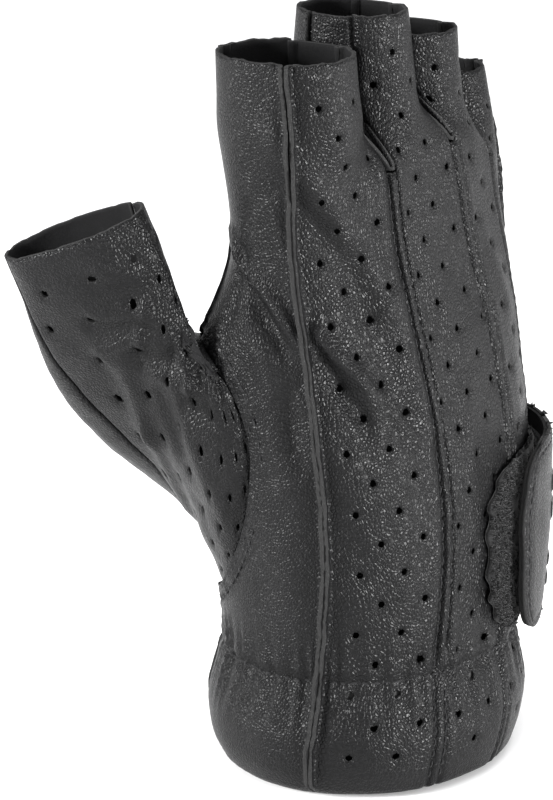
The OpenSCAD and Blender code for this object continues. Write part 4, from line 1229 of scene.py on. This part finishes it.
def tab_grid(z0, z1, tip, rounding, to, rows, cols):
    """Share across the width, heights and angles of a tab with a rounded end."""
    u = (0.5 - 0.5 * np.cos(np.linspace(0, np.pi, rows)))[:, None]
    c = np.linspace(0, 1, cols)[None] ** 1.15
    start = tip + rounding * end_curve(u)
    return u + 0 * c, mix(z0, z1, u) + 0 * c, mix(start, to, c)

def edge_distance(z, a, z0, z1, tip, rounding):
    """Millimetres from a tab's edge, roughly."""
    u = np.clip((z - z0) / (z1 - z0), 0, 1)
    round_mm = (a - tip - rounding * end_curve(u)) * TAB_DEGREE_MM
    return np.minimum(np.minimum(z - z0, z1 - z), round_mm)

# heights and angles of plain raised bars, in two groups
BARS = [(56.5, 60.5, 304, 328), (50.5, 54.5, 304, 328), (40, 43, 304, 312),
    (40, 43, 315, 328), (35.5, 38.5, 304, 320), (35.5, 38.5, 323, 328)]

def emboss(z, a):
    """The raised bars across the tab, 0 to 1."""
    bars = 0 * z
    for z0, z1, a0, a1 in BARS:
        bars = np.maximum(bars, smooth((z - z0) / 0.5) * smooth((z1 - z) / 0.5)
            * smooth((a - a0) / 0.8) * smooth((a1 - a) / 0.8))
    return bars

STITCH_INSET = 1.8

def strap_lift(z, a):
    """The strap's gentle unevenness, and its tip that stands off a little."""
    return 0.5 * smooth((STRAP_TIP + 12 - a) / 14) + 0.12 * lumps(skin(z, a), 14, 21)

def root_drop(share):
    """How far the strap's root sinks to the palm, from the hinge to its end."""
    return smooth(share) * (LINING_IN - GAP)

root_end = STRAP_ROOT + ROOT_GAP + ROOT_LENGTH
u, z, a = tab_grid(STRAP_Z0, STRAP_Z1, STRAP_TIP, STRAP_ROUND, root_end, 120, 240)
d = edge_distance(z, a, STRAP_Z0, STRAP_Z1, STRAP_TIP, STRAP_ROUND)
stitch_groove = 0.28 * bell((d - STITCH_INSET) / 0.45) * (a < STRAP_ROOT - 1)
off = STRAP_OUT - root_drop((a - STRAP_ROOT - ROOT_GAP) / ROOT_LENGTH) + strap_lift(z, a)
off = off - 0.35 * bell(d / 0.7) - stitch_groove
off = off + 0.15 * smooth((d - 2.4) / 2) + 0.45 * emboss(z, a)
strap = Cutting()
strap.add_grid(skin(z, a, off))
strap_piece = thicken(strap.make("strap_leather", [pebble_leather, suede, cut_edge]), LEATHER + 0.05)
print("strap", len(strap_piece.data.polygons), "faces")

# %% Strap leather from root to tip
BEND_HALF = 5.0
STRAP_MID = STRAP_Z0 + STRAP_W / 2
HINGE_FROM = skin(STRAP_MID, STRAP_ROOT + BEND_HALF, STRAP_OUT - 0.5) / 1000
HINGE_TO = skin(STRAP_MID, STRAP_ROOT - BEND_HALF, STRAP_OUT - 0.5) / 1000
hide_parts("strap", "strap_root")
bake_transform(strap_piece)
print("the strap bends over", round(float(np.linalg.norm(HINGE_TO - HINGE_FROM)) * 1000, 1), "mm")

# %% Lining
low, high, tip = STRAP_Z0 + 0.2, STRAP_Z1 - 0.2, STRAP_TIP + 0.3
u, z, a = tab_grid(low, high, tip, STRAP_ROUND, STRAP_ROOT - 0.6, 80, 120)
d = edge_distance(z, a, low, high, tip, STRAP_ROUND)
lining = Cutting()
lining.add_grid(skin(z, a, LINING_OUT + strap_lift(z, a) + 0.06 - 0.1 * bell(d / 0.4)))
lining_piece = thicken(lining.make("strap_lining_leather", [fine_leather, suede, cut_edge]), LEATHER - 0.1)
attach(lining_piece, "strap")
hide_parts("strap_lining")
print("lining", len(lining_piece.data.polygons), "faces")

# %% Hook tape under the strap
HOOK_MARGIN, HOOK_ROUND, HOOK_END = 4, STRAP_ROUND * 0.8, STRAP_ROOT - 16
u, z, a = tab_grid(STRAP_Z0 + HOOK_MARGIN, STRAP_Z1 - HOOK_MARGIN, STRAP_TIP + HOOK_MARGIN,
    HOOK_ROUND, HOOK_END, 40, 60)
hook = Cutting()
hook.add_grid(skin(z, a, LINING_IN - 0.05))
hook_piece = thicken(hook.make("hook_tape", [hook_finish] * 3), 0.6)
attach(hook_piece, "strap")
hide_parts("hook_patch")

def bristles(cutting, places, height, lean, width, rng):
    """Small bent bristles or loops that stand on a tape, as [z, angle, offset, direction]."""
    t = np.linspace(0, 1, 5)
    for z, a, off, direction in places:
        turn = rng.uniform(0, np.pi)
        tall = height * rng.uniform(0.7, 1.15)
        wide = lean * rng.uniform(0.7, 1.2)
        over = wide * (t - 0.5)
        rise_mm = off + direction * tall * np.sin(np.pi * t * 0.94 + 0.06)
        zz = z + over * np.cos(turn)
        aa = a + over * np.sin(turn) / 0.68
        spine = skin(zz, aa, rise_mm)
        up = unit(skin(zz, aa, rise_mm + 1) - spine)
        along = unit(np.gradient(spine, axis=0))
        across = unit(np.cross(along, up))
        lift = np.cross(across, along)
        corners = np.array([[1, -0.6], [-1, -0.6], [0, 1.1]]) * width
        ring = corners[None, :, :1] * across[:, None] + corners[None, :, 1:] * lift[:, None]
        cutting.add_grid(spine[:, None] + ring, closed=True)

rng = np.random.default_rng(7)

def on_tab(rng, count, z0, z1, tip, rounding, to):
    """Even random places on a tab."""
    u = rng.uniform(0.01, 0.99, count)
    a = rng.uniform(tip, to, count)
    ok = a > tip + rounding * end_curve(u) + 0.6
    return mix(z0, z1, u[ok]), a[ok]

hooks = Cutting()
inset = HOOK_MARGIN + 0.6
z, a = on_tab(rng, 1500, STRAP_Z0 + inset, STRAP_Z1 - inset, STRAP_TIP + inset,
    HOOK_ROUND, HOOK_END - 0.8)
bristles(hooks, [(p, q, LINING_IN - 0.6, -1) for p, q in zip(z, a)], 0.55, 0.5, 0.07, rng)
hooks_piece = hooks.make("hook_bristles", [hook_finish], weld=0)
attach(hooks_piece, "strap")
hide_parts("hook_patch")
print("hooks", len(hooks_piece.data.polygons), "faces")

# %% Loop pile on the glove
PATCH_TIP = STRAP_TIP - PATCH_MARGIN
PATCH_LOW, PATCH_HIGH = STRAP_Z0 + 2, STRAP_Z1 - 2
PATCH_END = STRAP_ROOT - 18
u, z, a = tab_grid(PATCH_LOW, PATCH_HIGH, PATCH_TIP, STRAP_ROUND, PATCH_END, 90, 110)
d = edge_distance(z, a, PATCH_LOW, PATCH_HIGH, PATCH_TIP, STRAP_ROUND)
wavy = 0.9 * np.sin(z * 0.9 + 1.1 * np.sin(z * 0.31)) * smooth((PATCH_TIP + 14 - a) / 10)
pile = PATCH_OUT - 0.25 - 0.3 * bell(d / 0.6) + 0.1 * lumps(skin(z, a), 3, 31)
patch = Cutting()
patch.add_grid(skin(z, a + wavy, pile))
patch_piece = thicken(patch.make("loop_tape", [loop_finish] * 3), 0.95)
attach(patch_piece, "glove")
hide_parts("loop_patch")

loops = Cutting()
z, a = on_tab(rng, 1500, PATCH_LOW, PATCH_HIGH, PATCH_TIP, STRAP_ROUND, PATCH_END - 0.5)
bristles(loops, [(p, q, PATCH_OUT - 0.35, 1) for p, q in zip(z, a)], 0.5, 0.9, 0.08, rng)
# longer pile where the strap leaves the tape uncovered
z, a = on_tab(rng, 2600, PATCH_LOW - 0.3, PATCH_HIGH + 0.3, PATCH_TIP - 0.8, STRAP_ROUND,
    STRAP_TIP + 21)
bare = a < STRAP_TIP + STRAP_ROUND * end_curve((z - STRAP_Z0) / STRAP_W) + 1.0
bare_places = [(p, q, PATCH_OUT - 0.45, 1) for p, q in zip(z[bare], a[bare])]
bristles(loops, bare_places, 1.15, 1.1, 0.09, rng)
loops_piece = loops.make("loop_pile", [loop_finish], weld=0)
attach(loops_piece, "glove")
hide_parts("loop_patch")
print("loops", len(loops_piece.data.polygons), "faces")

# %% Stitches of the strap, its root and the loop tape
def tab_line(inset, z0, z1, tip, rounding, to):
    """A line that runs in from the root, round the end and out again, inset from the edge."""
    low, high = z0 + inset, z1 - inset
    u = 0.5 - 0.5 * np.cos(np.linspace(0, np.pi, 160))
    round_a = tip + inset / TAB_DEGREE_MM + rounding * end_curve(u)
    side_a = np.linspace(to, round_a[0], 160)
    return (np.concatenate([low + 0 * side_a, mix(low, high, u), high + 0 * side_a]),
        np.concatenate([side_a, round_a, side_a[::-1]]))

strap_row = Cutting()
z, a = tab_line(STITCH_INSET, STRAP_Z0, STRAP_Z1, STRAP_TIP, STRAP_ROUND, STRAP_ROOT - 3)
points, normals = tab_row(z, a, STRAP_OUT - 0.3 + strap_lift(z, a))
sew(strap_row, points, normals)
finish_thread(strap_row, "strap_stitches", "strap_stitching", "strap")

root_rows = Cutting()
for share in (0.8, 0.92):
    z = np.linspace(STRAP_Z0 + 2, STRAP_Z1 - 2, 120)
    a = STRAP_ROOT + ROOT_GAP + ROOT_LENGTH * share + 0 * z
    points, normals = tab_row(z, a, STRAP_OUT - root_drop(share) + 0.2)
    sew(root_rows, points, normals)
finish_thread(root_rows, "root_stitches", "root_stitching")

patch_row = Cutting()
u = 0.5 - 0.5 * np.cos(np.linspace(0.15, np.pi - 0.15, 160))
z = mix(PATCH_LOW + 1.4, PATCH_HIGH - 1.4, u)
a = PATCH_TIP + 2.1 + STRAP_ROUND * end_curve(u)
points, normals = tab_row(z, a, PATCH_OUT - 0.1)
sew(patch_row, points, normals)
finish_thread(patch_row, "loop_tape_stitches", "loop_patch_stitching")
